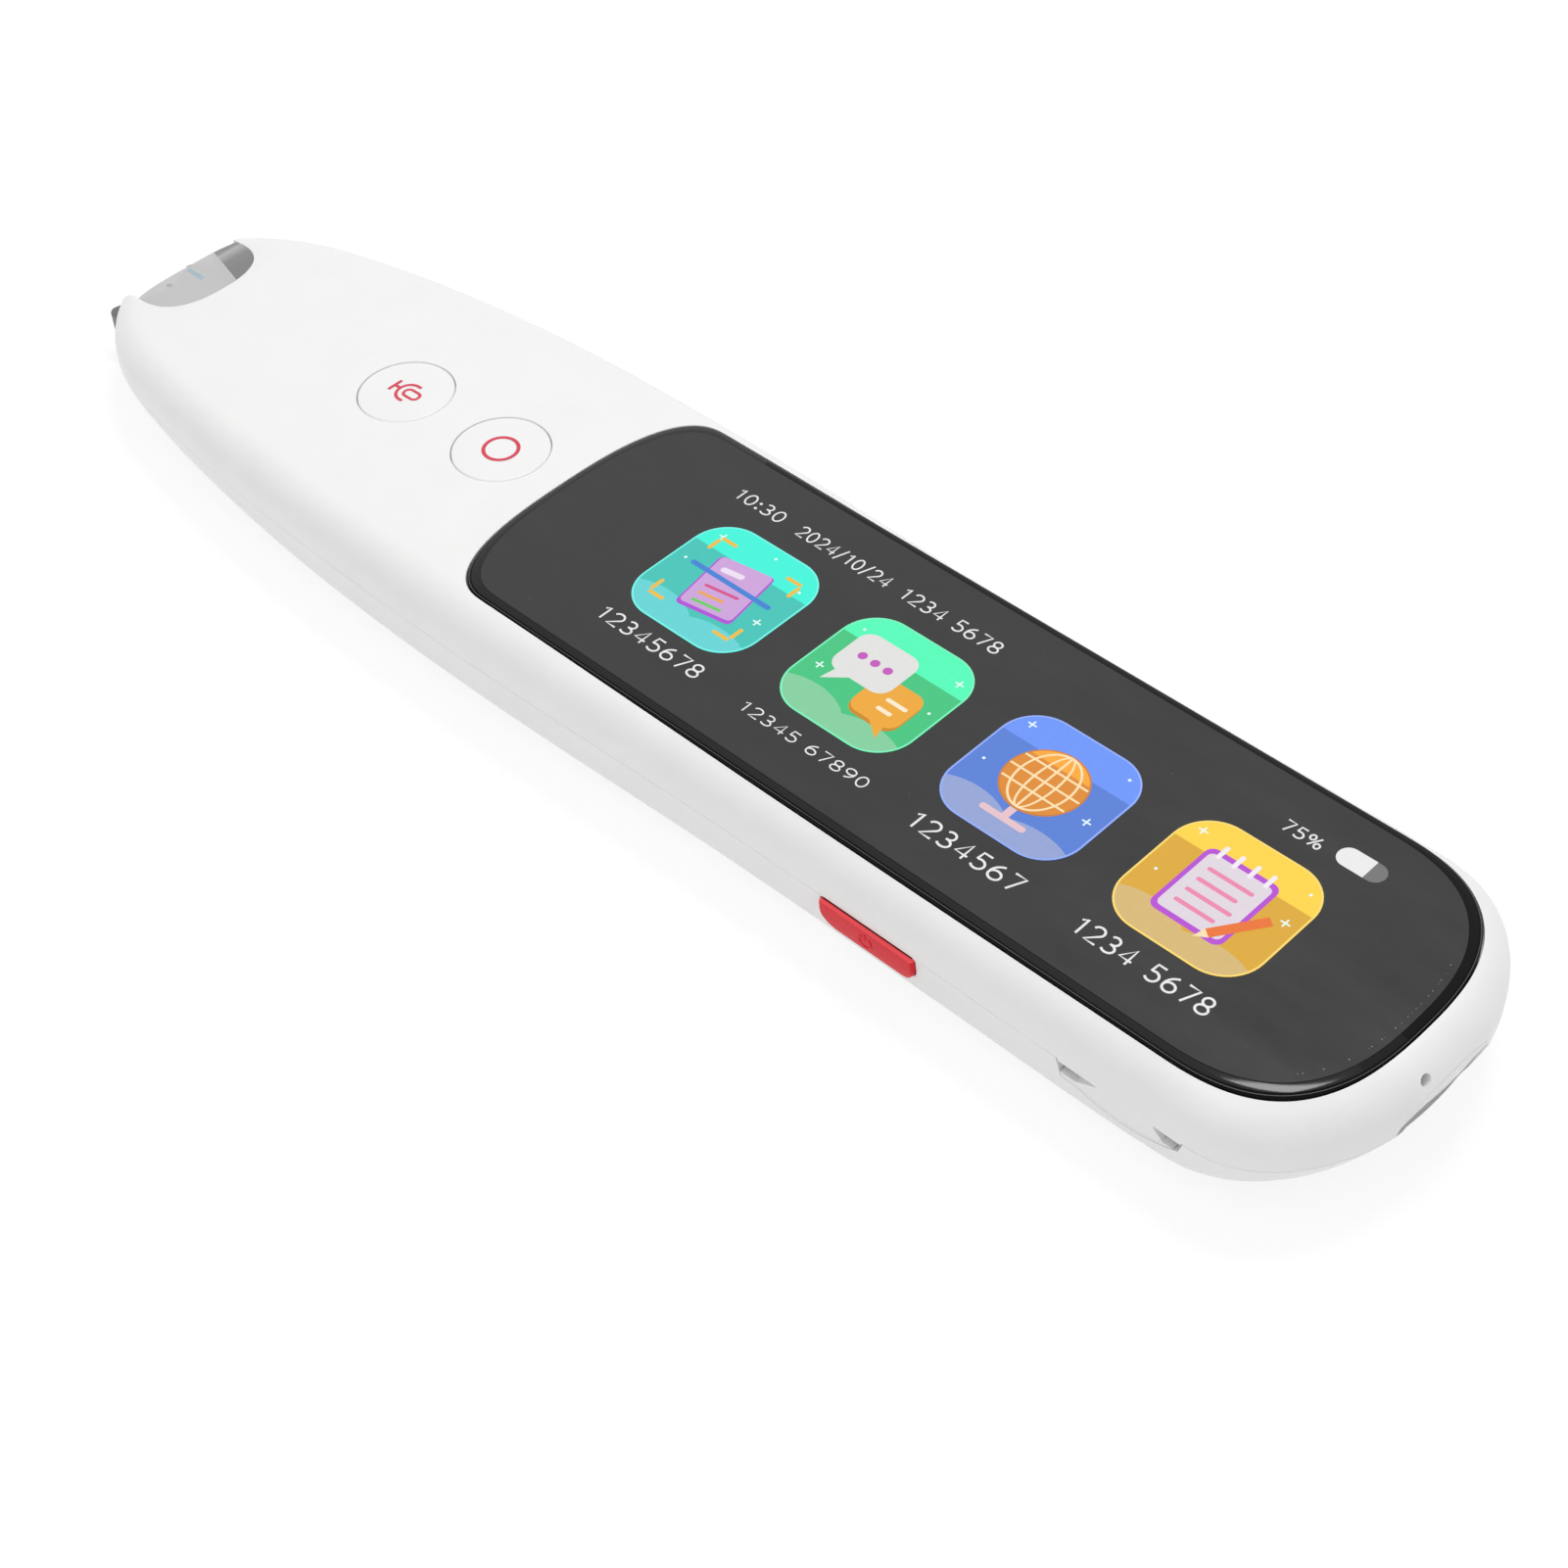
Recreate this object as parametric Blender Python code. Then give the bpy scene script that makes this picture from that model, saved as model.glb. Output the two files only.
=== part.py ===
"""Hand-held translation pen, lying on its back with the screen up.

Metres. +X runs from the reading tip to the blunt end, +Z is up, and the origin is under the
middle of the pen on the surface that it lies on.
"""
import bpy
import bmesh
from math import cos, hypot, pi, sin, tau
from mathutils import Matrix, Vector

# Body form
BODY_LENGTH = 0.1492
BODY_WIDTH = 0.0332
BODY_HEIGHT = 0.0118
WIDEST_BELOW_TOP = 0.00422
PARTING_BELOW_TOP = 0.0052
HALF_WIDTH_SHARES = ((0.015, 0.598), (0.133, 0.833), (0.265, 0.962), (0.423, 0.999), (0.634, 0.943),
                     (0.924, 0.961))
TIP_ROUND_LENGTH = 0.01368
TIP_ROUND_POWER = 2.57
BUTT_ROUND_LENGTH = 0.0109
BUTT_ROUND_POWER = 2.1
TIP_SLOPE_LENGTH = 0.0548
TIP_DROP = 0.0027
TIP_UNDERSIDE_BELOW_PARTING = 0.00113
BUTT_SLOPE_LENGTH = 0.0223
BUTT_UNDERSIDE_BELOW_PARTING = 0.00355
PARTING_DROP_SHARE = 0.75
TOP_ROUND = 0.00282
UNDER_ROUND_TIP = 0.0048
UNDER_ROUND_SIDE = 0.00387
UNDER_ROUND_BUTT = 0.00872
UNDER_ROUND_POWER = 2.3
TOP_LEVEL_SHARES = (1.0, 0.985, 0.92, 0.78, 0.52, 0.25)
UNDER_LEVEL_SHARES = (0.45, 0.72, 0.88, 0.97, 1.0)
INNER_LEVEL_SHARES = (0.0, 0.35, 0.7, 0.92, 1.0)

# Walls and fits
TOP_WALL = 0.0016
SIDE_WALL = 0.00145
FLOOR_WALL = 0.0013
PARTING_GAP = 0.0001
LIP_HEIGHT = 0.0009
LIP_WALL = 0.0007
FIT = 0.0001
AIR = 0.0003
SEAT_GAP = 0.00005
OVERRUN = 0.002

# Screen
GLASS_FROM_TIP = 0.0576
GLASS_FROM_BUTT = 0.0027
GLASS_FROM_SIDE = 0.00255
GLASS_THICKNESS = 0.00095
GLASS_PROUD = 0.00025
GLASS_EDGE_HEIGHT = 0.0006
GLASS_ROUND = 0.0015
GLASS_TIP_ROUND_LENGTH = 0.006
GLASS_TIP_ROUND_POWER = 2.65
GLASS_BUTT_ROUND_LENGTH = 0.012
GLASS_BUTT_ROUND_POWER = 2.6
GLASS_LEVEL_SHARES = (0.0, 0.55, 0.85, 1.0)
ADHESIVE_WIDTH = 0.0012
ADHESIVE_THICKNESS = 0.00015
PANEL_FROM_GLASS_TIP = 0.0035
PANEL_FROM_GLASS_BUTT = 0.0086
PANEL_SIDE_AIR = 0.00055
PANEL_THICKNESS = 0.0017
PANEL_CORNER = 0.0025
TRAY_THICKNESS = 0.0004
TRAY_MARGIN = 0.0004
TRAY_SLOT_LENGTH = 0.016
TRAY_SLOT_WIDTH = 0.003

# Round keys
VOICE_KEY_FROM_TIP = 0.0375
HOME_KEY_FROM_TIP = 0.0501
KEY_DIAMETER = 0.0087
KEY_EDGE_ROUND = 0.0002
KEY_FLANGE_DIAMETER = 0.0104
KEY_FLANGE_THICKNESS = 0.00065
KEY_TRAVEL = 0.00035
SWITCH_WIDTH = 0.0036
SWITCH_HEIGHT = 0.0011
SWITCH_BORE_DEPTH = 0.0007
PLUNGER_DIAMETER = 0.0016
SIDE_SWITCH_WIDTH = 0.0023
SIDE_PLUNGER_DIAMETER = 0.001

# Power key
POWER_KEY_FROM_BUTT = 0.0413
POWER_KEY_LENGTH = 0.01
POWER_KEY_HEIGHT = 0.0028
POWER_KEY_PROUD = 0.0003
POWER_KEY_FRONT_CORNER = 0.0017
POWER_KEY_REAR_CORNER = 0.0008
POWER_KEY_UPPER_CORNER = 0.00025
POWER_KEY_FLANGE_RIM = 0.0005
POWER_KEY_SETBACK = 0.0005
POWER_KEY_FLANGE_THICKNESS = 0.0006
POWER_KEY_TRAVEL = 0.00035

# Strap hole
STRAP_FROM_BUTT = 0.0169
STRAP_SPAN = 0.0114
STRAP_LOBE_DROP = 0.0029
STRAP_LOBE_SHARES = ((0.0, 0.0), (0.03, 0.64), (0.18, 0.72), (0.33, 0.93), (0.5, 1.0), (0.68, 0.92),
                     (0.84, 0.66), (0.965, 0.42), (1.0, 0.0))
STRAP_SLOT_HEIGHT = 0.0011
STRAP_FRONT_SLOT_LENGTH = 0.0037
STRAP_REAR_SLOT_LENGTH = 0.0026
STRAP_SLOT_BELOW_PARTING = 0.0003
STRAP_SLOT_POINT_HEIGHT = 0.0002
STRAP_MOUTH_LENGTH = 0.0017
STRAP_BRIDGE_DEPTH = 0.0021
STRAP_TUNNEL_DEPTH = 0.0017
STRAP_BLOCK_WALL = 0.0011

# Tip window and nib
WINDOW_FROM_TIP = 0.0109
WINDOW_ARCH_LENGTH = 0.0048
WINDOW_WIDTH = 0.0117
WINDOW_ARCH_POWER = 2.5
WINDOW_FLARE_FROM_TIP = 0.005
WINDOW_FLARE_SHARE = 1.8
WINDOW_FRONT_FROM_TIP = 0.0058
WINDOW_FRONT_SAG = 0.0005
WINDOW_LEAN_SHARE = 0.35
WINDOW_RECESS = 0.00025
WINDOW_THICKNESS = 0.0012
NIB_REACH = 0.0013
NIB_WIDTH = 0.0114
NIB_HEIGHT = 0.00225
NIB_BELOW_PARTING = 0.0021
NIB_LENGTH = 0.0045
NIB_CORNER = 0.0008
NIB_SCOOP_WIDTH = 0.0078
NIB_SCOOP_DEPTH = 0.0014
NIB_ARM_WIDTH = 0.0012
NIB_ARM_HEIGHT = 0.0007
NIB_ARM_LENGTH = 0.0082
NIB_ARM_RISE = 0.0003
NIB_TRAVEL = 0.0006

# Reading head
DUCT_WALL = 0.0005
DUCT_LENGTH = 0.0107
DUCT_FRONT_WIDTH = 0.0082
DUCT_REAR_WIDTH = 0.0062
DUCT_HEIGHT = 0.0025
DUCT_FROM_TIP = 0.0057
LAMP_LENGTH = 0.0061
LAMP_WIDTH = 0.0031
LAMP_HEIGHT = 0.0006
LAMP_OFFSET = 0.0036
AIM_LAMP_DIAMETER = 0.001
AIM_LAMP_HEIGHT = 0.0005
AIM_LAMP_OFFSET = 0.0028
BARREL_STEP = 0.0003
BARREL_LENGTH = 0.0052
BARREL_WALL = 0.0005
LENS_THICKNESS = 0.0006
CAMERA_LENGTH = 0.007
CAMERA_WIDTH = 0.0084
CAMERA_AIR = 0.00075
CAMERA_CORNER = 0.0006

# Boards and what they carry
BOARD_AIR = 0.00155
BOARD_THICKNESS = 0.0008
BOARD_FROM_TIP = 0.0293
BOARD_FROM_BUTT = 0.0125
BOARD_MARGIN = 0.0022
BOARD_CORNER = 0.002
SCREW_HEAD_DIAMETER = 0.0026
SCREW_HEAD_HEIGHT = 0.0006
SCREW_DIAMETER = 0.0013
SCREW_LENGTH = 0.0022
BOSS_WALL = 0.0011
FRONT_BOSS_FROM_TIP = 0.033
FRONT_BOSS_FROM_EDGE = 0.0017
REAR_BOSS_FROM_TIP = 0.0545
REAR_BOSS_FROM_EDGE = 0.0012
CAN_LENGTH = 0.018
CAN_WIDTH = 0.015
CAN_HEIGHT = 0.0011
CAN_FROM_TIP = 0.0745
CHIP_LENGTH = 0.0085
CHIP_WIDTH = 0.0075
CHIP_HEIGHT = 0.0009
CHIP_FROM_TIP = 0.093
PLUG_LENGTH = 0.0035
PLUG_WIDTH = 0.007
PLUG_HEIGHT = 0.0012
PLUG_FROM_TIP = 0.104
COMPONENT_BEVEL = 0.0002

# Battery and speaker
BATTERY_FROM_TIP = 0.061
BATTERY_FROM_BUTT = 0.0312
BATTERY_FROM_SIDE = 0.006
BATTERY_AIR = 0.00065
BATTERY_BEVEL = 0.0006
BATTERY_PAD_MARGIN = 0.003
PAD_THICKNESS = 0.0002
RIB_THICKNESS = 0.0008
RIB_HEIGHT = 0.0022
RIB_GAP = 0.0005
SPEAKER_LENGTH = 0.012
SPEAKER_FROM_SIDE = 0.0076
SPEAKER_AIR = 0.00175
SPEAKER_CORNER = 0.0015
SPEAKER_GAP = 0.0022
SPEAKER_SLOT_COUNT = 5
SPEAKER_SLOT_WIDTH = 0.0008
SPEAKER_SLOT_LENGTH = 0.009
SPEAKER_SLOT_PITCH = 0.0017
MESH_THICKNESS = 0.00012

# Connector and microphone at the blunt end
USB_WIDTH = 0.00894
USB_HEIGHT = 0.00316
USB_WALL = 0.0003
USB_LENGTH = 0.0073
USB_SETBACK = 0.0016
USB_RECESS_WIDTH = 0.0114
USB_RECESS_HEIGHT = 0.0044
USB_RECESS_DEPTH = 0.0012
TONGUE_WIDTH = 0.0067
TONGUE_HEIGHT = 0.0007
TONGUE_LENGTH = 0.0061
USB_BOARD_LENGTH = 0.0088
USB_BOARD_WIDTH = 0.015
USB_BOARD_SETBACK = 0.0053
MICROPHONE_HOLE_DIAMETER = 0.001
MICROPHONE_OFFSET = 0.00255
MICROPHONE_BELOW_TOP = 0.0017
MICROPHONE_WIDTH = 0.003
MICROPHONE_DEPTH = 0.0016
MICROPHONE_THICKNESS = 0.0011
MICROPHONE_SETBACK = 0.0033
MICROPHONE_BORE_DEPTH = 0.0026

# Facet counts and angles
TIP_STEPS = 11
SIDE_STEPS = 12
BUTT_STEPS = 12
ROUND_STEPS = 32
SMALL_ROUND_STEPS = 20
FINE_ROUND_STEPS = 12
CORNER_STEPS = 5
SLOT_STEPS = 3
ROUND_END_SHARE = 0.999
SMOOTH_ANGLE = 0.6
BEVEL_ANGLE = 0.9

# Directions
TIPWARD = (-1, 0, 0)
BUTTWARD = (1, 0, 0)
NEARWARD = (0, -1, 0)
UP = (0, 0, 1)
TOP_FRAME = (BUTTWARD, (0, 1, 0), UP)
SIDE_FRAME = (BUTTWARD, UP, (0, 1, 0))

# Places and sizes worked out from the sizes above
BUTT_X = (BODY_LENGTH + NIB_REACH) / 2
TIP_X = BUTT_X - BODY_LENGTH
WIDEST_HEIGHT = BODY_HEIGHT - WIDEST_BELOW_TOP
PARTING_HEIGHT = BODY_HEIGHT - PARTING_BELOW_TOP
TIP_UNDERSIDE_RISE = PARTING_HEIGHT - PARTING_DROP_SHARE * TIP_DROP - TIP_UNDERSIDE_BELOW_PARTING
BUTT_UNDERSIDE_RISE = PARTING_HEIGHT - BUTT_UNDERSIDE_BELOW_PARTING
CEILING_Z = BODY_HEIGHT - TOP_WALL
GLASS_TOP_Z = BODY_HEIGHT + GLASS_PROUD
GLASS_BOTTOM_Z = GLASS_TOP_Z - GLASS_THICKNESS
SEAT_Z = GLASS_BOTTOM_Z - ADHESIVE_THICKNESS - 2 * SEAT_GAP
PANEL_TOP_Z = GLASS_BOTTOM_Z - SEAT_GAP
TRAY_TOP_Z = PANEL_TOP_Z - PANEL_THICKNESS - SEAT_GAP
BOARD_TOP_Z = TRAY_TOP_Z - TRAY_THICKNESS - BOARD_AIR
BOARD_BOTTOM_Z = BOARD_TOP_Z - BOARD_THICKNESS
GLASS_TIP_X = TIP_X + GLASS_FROM_TIP
GLASS_BUTT_X = BUTT_X - GLASS_FROM_BUTT
GLASS_WIDTH = BODY_WIDTH - 2 * GLASS_FROM_SIDE
PANEL_WIDTH = GLASS_WIDTH - 2 * (ADHESIVE_WIDTH + PANEL_SIDE_AIR)
BATTERY_START = TIP_X + BATTERY_FROM_TIP
BATTERY_END = BUTT_X - BATTERY_FROM_BUTT
BATTERY_WIDTH = BODY_WIDTH - 2 * BATTERY_FROM_SIDE
SPEAKER_WIDTH = BODY_WIDTH - 2 * SPEAKER_FROM_SIDE
SCREW_BORE = SCREW_DIAMETER + 2 * FIT
LIP_INSET = SIDE_WALL + FIT
INNER_INSET = LIP_INSET + LIP_WALL


def clear_scene():
    for thing in list(bpy.data.objects):
        bpy.data.objects.remove(thing, do_unlink=True)


def material(name, colour, roughness, metallic=0.0, transmission=0.0):
    made = bpy.data.materials.get(name)
    if made is None:
        made = bpy.data.materials.new(name)
        made.use_nodes = True
        shader = made.node_tree.nodes["Principled BSDF"]
        shader.inputs["Base Color"].default_value = (*colour, 1.0)
        shader.inputs["Roughness"].default_value = roughness
        shader.inputs["Metallic"].default_value = metallic
        shader.inputs["Transmission Weight"].default_value = transmission
        made.diffuse_color = (*colour, 1.0)
    return made


def white_plastic():
    return material("white_plastic", (0.86, 0.86, 0.86), 0.32)


def red_plastic():
    return material("red_plastic", (0.60, 0.04, 0.06), 0.35)


def black_plastic():
    return material("black_plastic", (0.02, 0.02, 0.022), 0.5)


def grey_plastic():
    return material("grey_plastic", (0.45, 0.45, 0.46), 0.5)


def smoke_plastic():
    return material("smoke_plastic", (0.30, 0.30, 0.31), 0.12, transmission=0.6)


def dark_glass():
    return material("dark_glass", (0.015, 0.015, 0.017), 0.05)


def board_green():
    return material("board_green", (0.02, 0.16, 0.07), 0.45)


def steel():
    return material("steel", (0.62, 0.62, 0.62), 0.3, metallic=1.0)


def foil():
    return material("battery_foil", (0.55, 0.56, 0.58), 0.4, metallic=0.6)


def foam():
    return material("foam", (0.05, 0.05, 0.055), 0.9)


def finish(mesh_data, name, paint, origin=None):
    """Turn a bmesh into a named object whose own origin is at the given point."""
    bmesh.ops.recalc_face_normals(mesh_data, faces=mesh_data.faces)
    if origin is not None:
        bmesh.ops.translate(mesh_data, verts=mesh_data.verts, vec=-Vector(origin))
    mesh = bpy.data.meshes.new(name)
    mesh_data.to_mesh(mesh)
    mesh_data.free()
    mesh.materials.append(paint)
    mesh.shade_smooth()
    mesh.set_sharp_from_angle(angle=SMOOTH_ANGLE)
    thing = bpy.data.objects.new(name, mesh)
    if origin is not None:
        thing.location = origin
    bpy.context.collection.objects.link(thing)
    return thing


def merge(thing, other, operation):
    """Boolean another object into this one, and take the other one away."""
    modifier = thing.modifiers.new(operation.lower(), "BOOLEAN")
    modifier.operation = operation
    modifier.solver = "EXACT"
    modifier.object = other
    bpy.context.view_layer.update()
    graph = bpy.context.evaluated_depsgraph_get()
    mesh = bpy.data.meshes.new_from_object(thing.evaluated_get(graph))
    thing.modifiers.clear()
    old = thing.data
    thing.data = mesh
    bpy.data.meshes.remove(old)
    mesh.name = thing.name
    bpy.data.objects.remove(other, do_unlink=True)
    mesh.shade_smooth()
    mesh.set_sharp_from_angle(angle=SMOOTH_ANGLE)


def cut(thing, shape):
    merge(thing, finish(shape, "cutter", thing.data.materials[0]), "DIFFERENCE")


def add(thing, shape):
    merge(thing, finish(shape, "addition", thing.data.materials[0]), "UNION")


def keep(thing, shape):
    merge(thing, finish(shape, "envelope", thing.data.materials[0]), "INTERSECT")


def move_origin(thing, origin):
    """Put an object's own origin at the given point without moving its surface."""
    thing.data.transform(Matrix.Translation(-origin))
    thing.location = origin


def add_bevel(thing, width, segments=2):
    modifier = thing.modifiers.new("bevel", "BEVEL")
    modifier.width = width
    modifier.segments = segments
    modifier.limit_method = "ANGLE"
    modifier.angle_limit = BEVEL_ANGLE


def wall(made, rings, closed):
    """Quads between neighbouring rings of equal count; a closed wall joins the last to the first."""
    rows = [[made.verts.new(point) for point in ring] for ring in rings]
    count = len(rows[0])
    following = rows[1:] + rows[:1] if closed else rows[1:]
    for upper, lower in zip(rows, following):
        for i in range(count):
            j = (i + 1) % count
            made.faces.new((upper[i], upper[j], lower[j], lower[i]))
    return rows


def skin(rings):
    """A solid through the rings, with a flat face at each end."""
    made = bmesh.new()
    rows = wall(made, rings, closed=False)
    for row in (rows[0], rows[-1]):
        made.faces.new(row)
    return made


def tube(rings):
    """A solid ring whose cross-section has a corner on each of the rings."""
    made = bmesh.new()
    wall(made, rings, closed=True)
    return made


def skin_mirrored(rings):
    """Join rings that mirror in the XZ plane; each end is closed by strips that run across."""
    made = bmesh.new()
    rows = wall(made, rings, closed=False)
    for row in (rows[0], rows[-1]):
        count = len(row)
        for i in range(count // 2):
            corners = (row[i], row[i + 1], row[count - i - 1], row[(count - i) % count])
            made.faces.new(tuple(dict.fromkeys(corners)))
    return made


def prism(outline, frame, start, end, base=(0.0, 0.0, 0.0)):
    """Extrude a flat outline of (u, v) points; frame gives the u, v and w directions."""
    u, v, w = (Vector(axis) for axis in frame)
    rings = [[Vector(base) + u * a + v * b + w * depth for a, b in outline] for depth in (start, end)]
    return skin(rings)


def rounded_outline(left, bottom, right, top, radii, steps=CORNER_STEPS):
    """A rectangle whose corner radii run from lower left round to upper left."""
    lower_left, lower_right, upper_right, upper_left = radii
    corners = (
        (left + lower_left, bottom + lower_left, lower_left, 2),
        (right - lower_right, bottom + lower_right, lower_right, 3),
        (right - upper_right, top - upper_right, upper_right, 0),
        (left + upper_left, top - upper_left, upper_left, 1),
    )
    points = []
    for x, y, radius, quarter in corners:
        count = steps if radius else 0
        for i in range(count + 1):
            angle = (quarter + i / steps) * pi / 2
            points.append((x + radius * cos(angle), y + radius * sin(angle)))
    return points


def box_outline(left, bottom, right, top):
    return [(left, bottom), (right, bottom), (right, top), (left, top)]


def box(left, right, front, back, low, high):
    return prism(box_outline(left, front, right, back), TOP_FRAME, low, high)


def drum(centre, axis, radius_and_reach, steps=SMALL_ROUND_STEPS):
    """A turned solid: rings of (radius, distance along the axis) from the centre point."""
    along = Vector(axis).normalized()
    side = along.orthogonal().normalized()
    up = along.cross(side)
    rings = []
    for radius, reach in radius_and_reach:
        ring = []
        for i in range(steps):
            angle = tau * i / steps
            ring.append(Vector(centre) + along * reach + (side * cos(angle) + up * sin(angle)) * radius)
        rings.append(ring)
    return skin(rings)


def plate(name, span, width, levels, corner, paint):
    """A flat piece with rounded plan corners, centred on the pen's axis."""
    left, right = span
    low, high = levels
    outline = rounded_outline(left, -width / 2, right, width / 2, [corner] * 4)
    return finish(prism(outline, TOP_FRAME, low, high), name, paint)


def eased(value):
    return min(max(value, 0.0), 1.0) ** 2


def tip_slope(x):
    return eased((TIP_X + TIP_SLOPE_LENGTH - x) / TIP_SLOPE_LENGTH)


def top_height(x):
    return BODY_HEIGHT - TIP_DROP * tip_slope(x)


def widest_height(x):
    return WIDEST_HEIGHT - TIP_DROP * tip_slope(x)


def parting_height(x):
    return PARTING_HEIGHT - TIP_DROP * PARTING_DROP_SHARE * tip_slope(x)


def underside_height(x):
    butt_slope = eased((x - BUTT_X + BUTT_SLOPE_LENGTH) / BUTT_SLOPE_LENGTH)
    return TIP_UNDERSIDE_RISE * tip_slope(x) + BUTT_UNDERSIDE_RISE * butt_slope


def half_width(x):
    """Half the body's width at its widest level: a smooth curve through the stations."""
    places = [TIP_X + BODY_LENGTH * share for share, _ in HALF_WIDTH_SHARES]
    widths = [BODY_WIDTH / 2 * share for _, share in HALF_WIDTH_SHARES]
    last = len(places) - 1
    slopes = []
    for i in range(last + 1):
        before, after = max(i - 1, 0), min(i + 1, last)
        slopes.append((widths[after] - widths[before]) / (places[after] - places[before]))
    if x <= places[0]:
        return widths[0] + slopes[0] * (x - places[0])
    if x >= places[last]:
        return widths[last] + slopes[last] * (x - places[last])
    i = max(k for k in range(last) if x >= places[k])
    span = places[i + 1] - places[i]
    t = (x - places[i]) / span
    start = (1 + 2 * t) * (1 - t) ** 2
    end = t * t * (3 - 2 * t)
    return (start * widths[i] + end * widths[i + 1]
            + t * (1 - t) ** 2 * span * slopes[i] - t * t * (1 - t) * span * slopes[i + 1])


def bullet_loop(tip, butt, width_at, tip_round, butt_round):
    """A closed plan outline with two rounded ends, from its tip along -Y and back along +Y."""
    tip_length, tip_power = tip_round
    butt_length, butt_power = butt_round
    side = []
    for i in range(TIP_STEPS + 1):
        angle = pi / 2 * (1 - i / TIP_STEPS)
        x = tip + tip_length * (1 - sin(angle) ** (2 / tip_power))
        side.append((x, width_at(x) * max(cos(angle), 0.0) ** (2 / tip_power)))
    start, end = tip + tip_length, butt - butt_length
    for i in range(1, SIDE_STEPS):
        x = start + (end - start) * i / SIDE_STEPS
        side.append((x, width_at(x)))
    for i in range(BUTT_STEPS + 1):
        angle = pi / 2 * i / BUTT_STEPS
        x = butt - butt_length * (1 - sin(angle) ** (2 / butt_power))
        side.append((x, width_at(x) * max(cos(angle), 0.0) ** (2 / butt_power)))
    near = [(x, -y) for x, y in side[:-1]]
    far = [(x, y) for x, y in reversed(side[1:])]
    near[0] = (near[0][0], 0.0)
    far[0] = (far[0][0], 0.0)
    return near + far


def body_ring(insets, height_at):
    """One ring of the body: its plan outline drawn in at the tip, the sides and the butt."""
    at_tip, at_side, at_butt = insets
    loop = bullet_loop(TIP_X + at_tip, BUTT_X - at_butt, lambda x: half_width(x) - at_side,
                       (TIP_ROUND_LENGTH, TIP_ROUND_POWER), (BUTT_ROUND_LENGTH, BUTT_ROUND_POWER))
    return [Vector((x, y, height_at(x))) for x, y in loop]


def upper_ring(share, inset=0.0, ceiling=0.0):
    """A ring above the widest level; the inset and the ceiling's depth make an inner one."""
    drawn = max(TOP_ROUND - inset, 0.0) * (1 - (1 - share ** 2) ** 0.5) + inset

    def height(x):
        return widest_height(x) + share * (top_height(x) - ceiling - widest_height(x))
    return body_ring((drawn, drawn, drawn), height)


def under_insets(share, inset=0.0):
    drawn = 1 - (1 - share ** UNDER_ROUND_POWER) ** (1 / UNDER_ROUND_POWER)
    rounds = (UNDER_ROUND_TIP, UNDER_ROUND_SIDE, UNDER_ROUND_BUTT)
    return [max(size - inset, 0.0) * drawn + inset for size in rounds]


def under_ring(share, inset=0.0, floor=0.0):
    """A ring below the widest level, with the same two ways to make an inner one."""
    def height(x):
        return widest_height(x) - share * (widest_height(x) - underside_height(x) - floor)
    return body_ring(under_insets(share, inset), height)


def parting_share():
    return (WIDEST_HEIGHT - PARTING_HEIGHT) / WIDEST_HEIGHT


def parting_ring(inset, lift):
    return body_ring(under_insets(parting_share(), inset), lambda x: parting_height(x) + lift)


def body_skin(inset):
    """The whole outer form as one closed solid, drawn in all round by the inset."""
    rings = [upper_ring(share, inset, inset) for share in TOP_LEVEL_SHARES]
    rings.append(upper_ring(0.0, inset, inset))
    rings += [under_ring(share, inset, inset) for share in UNDER_LEVEL_SHARES]
    return skin_mirrored(rings)


def top_shell_skin():
    rings = [upper_ring(share) for share in TOP_LEVEL_SHARES]
    rings.append(upper_ring(0.0))
    rings.append(parting_ring(0.0, PARTING_GAP / 2))
    rings.append(parting_ring(SIDE_WALL, PARTING_GAP / 2))
    rings += [upper_ring(share, SIDE_WALL, TOP_WALL) for share in INNER_LEVEL_SHARES]
    return skin_mirrored(rings)


def bottom_shell_skin():
    rings = [under_ring(share) for share in reversed(UNDER_LEVEL_SHARES)]
    rings.append(parting_ring(0.0, -PARTING_GAP / 2))
    rings.append(parting_ring(LIP_INSET, -PARTING_GAP / 2))
    rings.append(parting_ring(LIP_INSET, LIP_HEIGHT))
    rings.append(parting_ring(INNER_INSET, LIP_HEIGHT))
    rings += [under_ring(share, INNER_INSET, FLOOR_WALL) for share in UNDER_LEVEL_SHARES]
    return skin_mirrored(rings)


def glass_loop(inset):
    return bullet_loop(GLASS_TIP_X + inset, GLASS_BUTT_X - inset, lambda x: GLASS_WIDTH / 2 - inset,
                       (GLASS_TIP_ROUND_LENGTH, GLASS_TIP_ROUND_POWER),
                       (GLASS_BUTT_ROUND_LENGTH, GLASS_BUTT_ROUND_POWER))


def key_places():
    return {"voice": TIP_X + VOICE_KEY_FROM_TIP, "home": TIP_X + HOME_KEY_FROM_TIP}


def board_edge(x):
    return half_width(x) - INNER_INSET - BOARD_MARGIN


def boss_places():
    front, rear = TIP_X + FRONT_BOSS_FROM_TIP, TIP_X + REAR_BOSS_FROM_TIP
    places = []
    for x, from_edge in ((front, FRONT_BOSS_FROM_EDGE), (rear, REAR_BOSS_FROM_EDGE)):
        across = board_edge(x) - from_edge
        places += [(x, -across), (x, across)]
    return places


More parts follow.
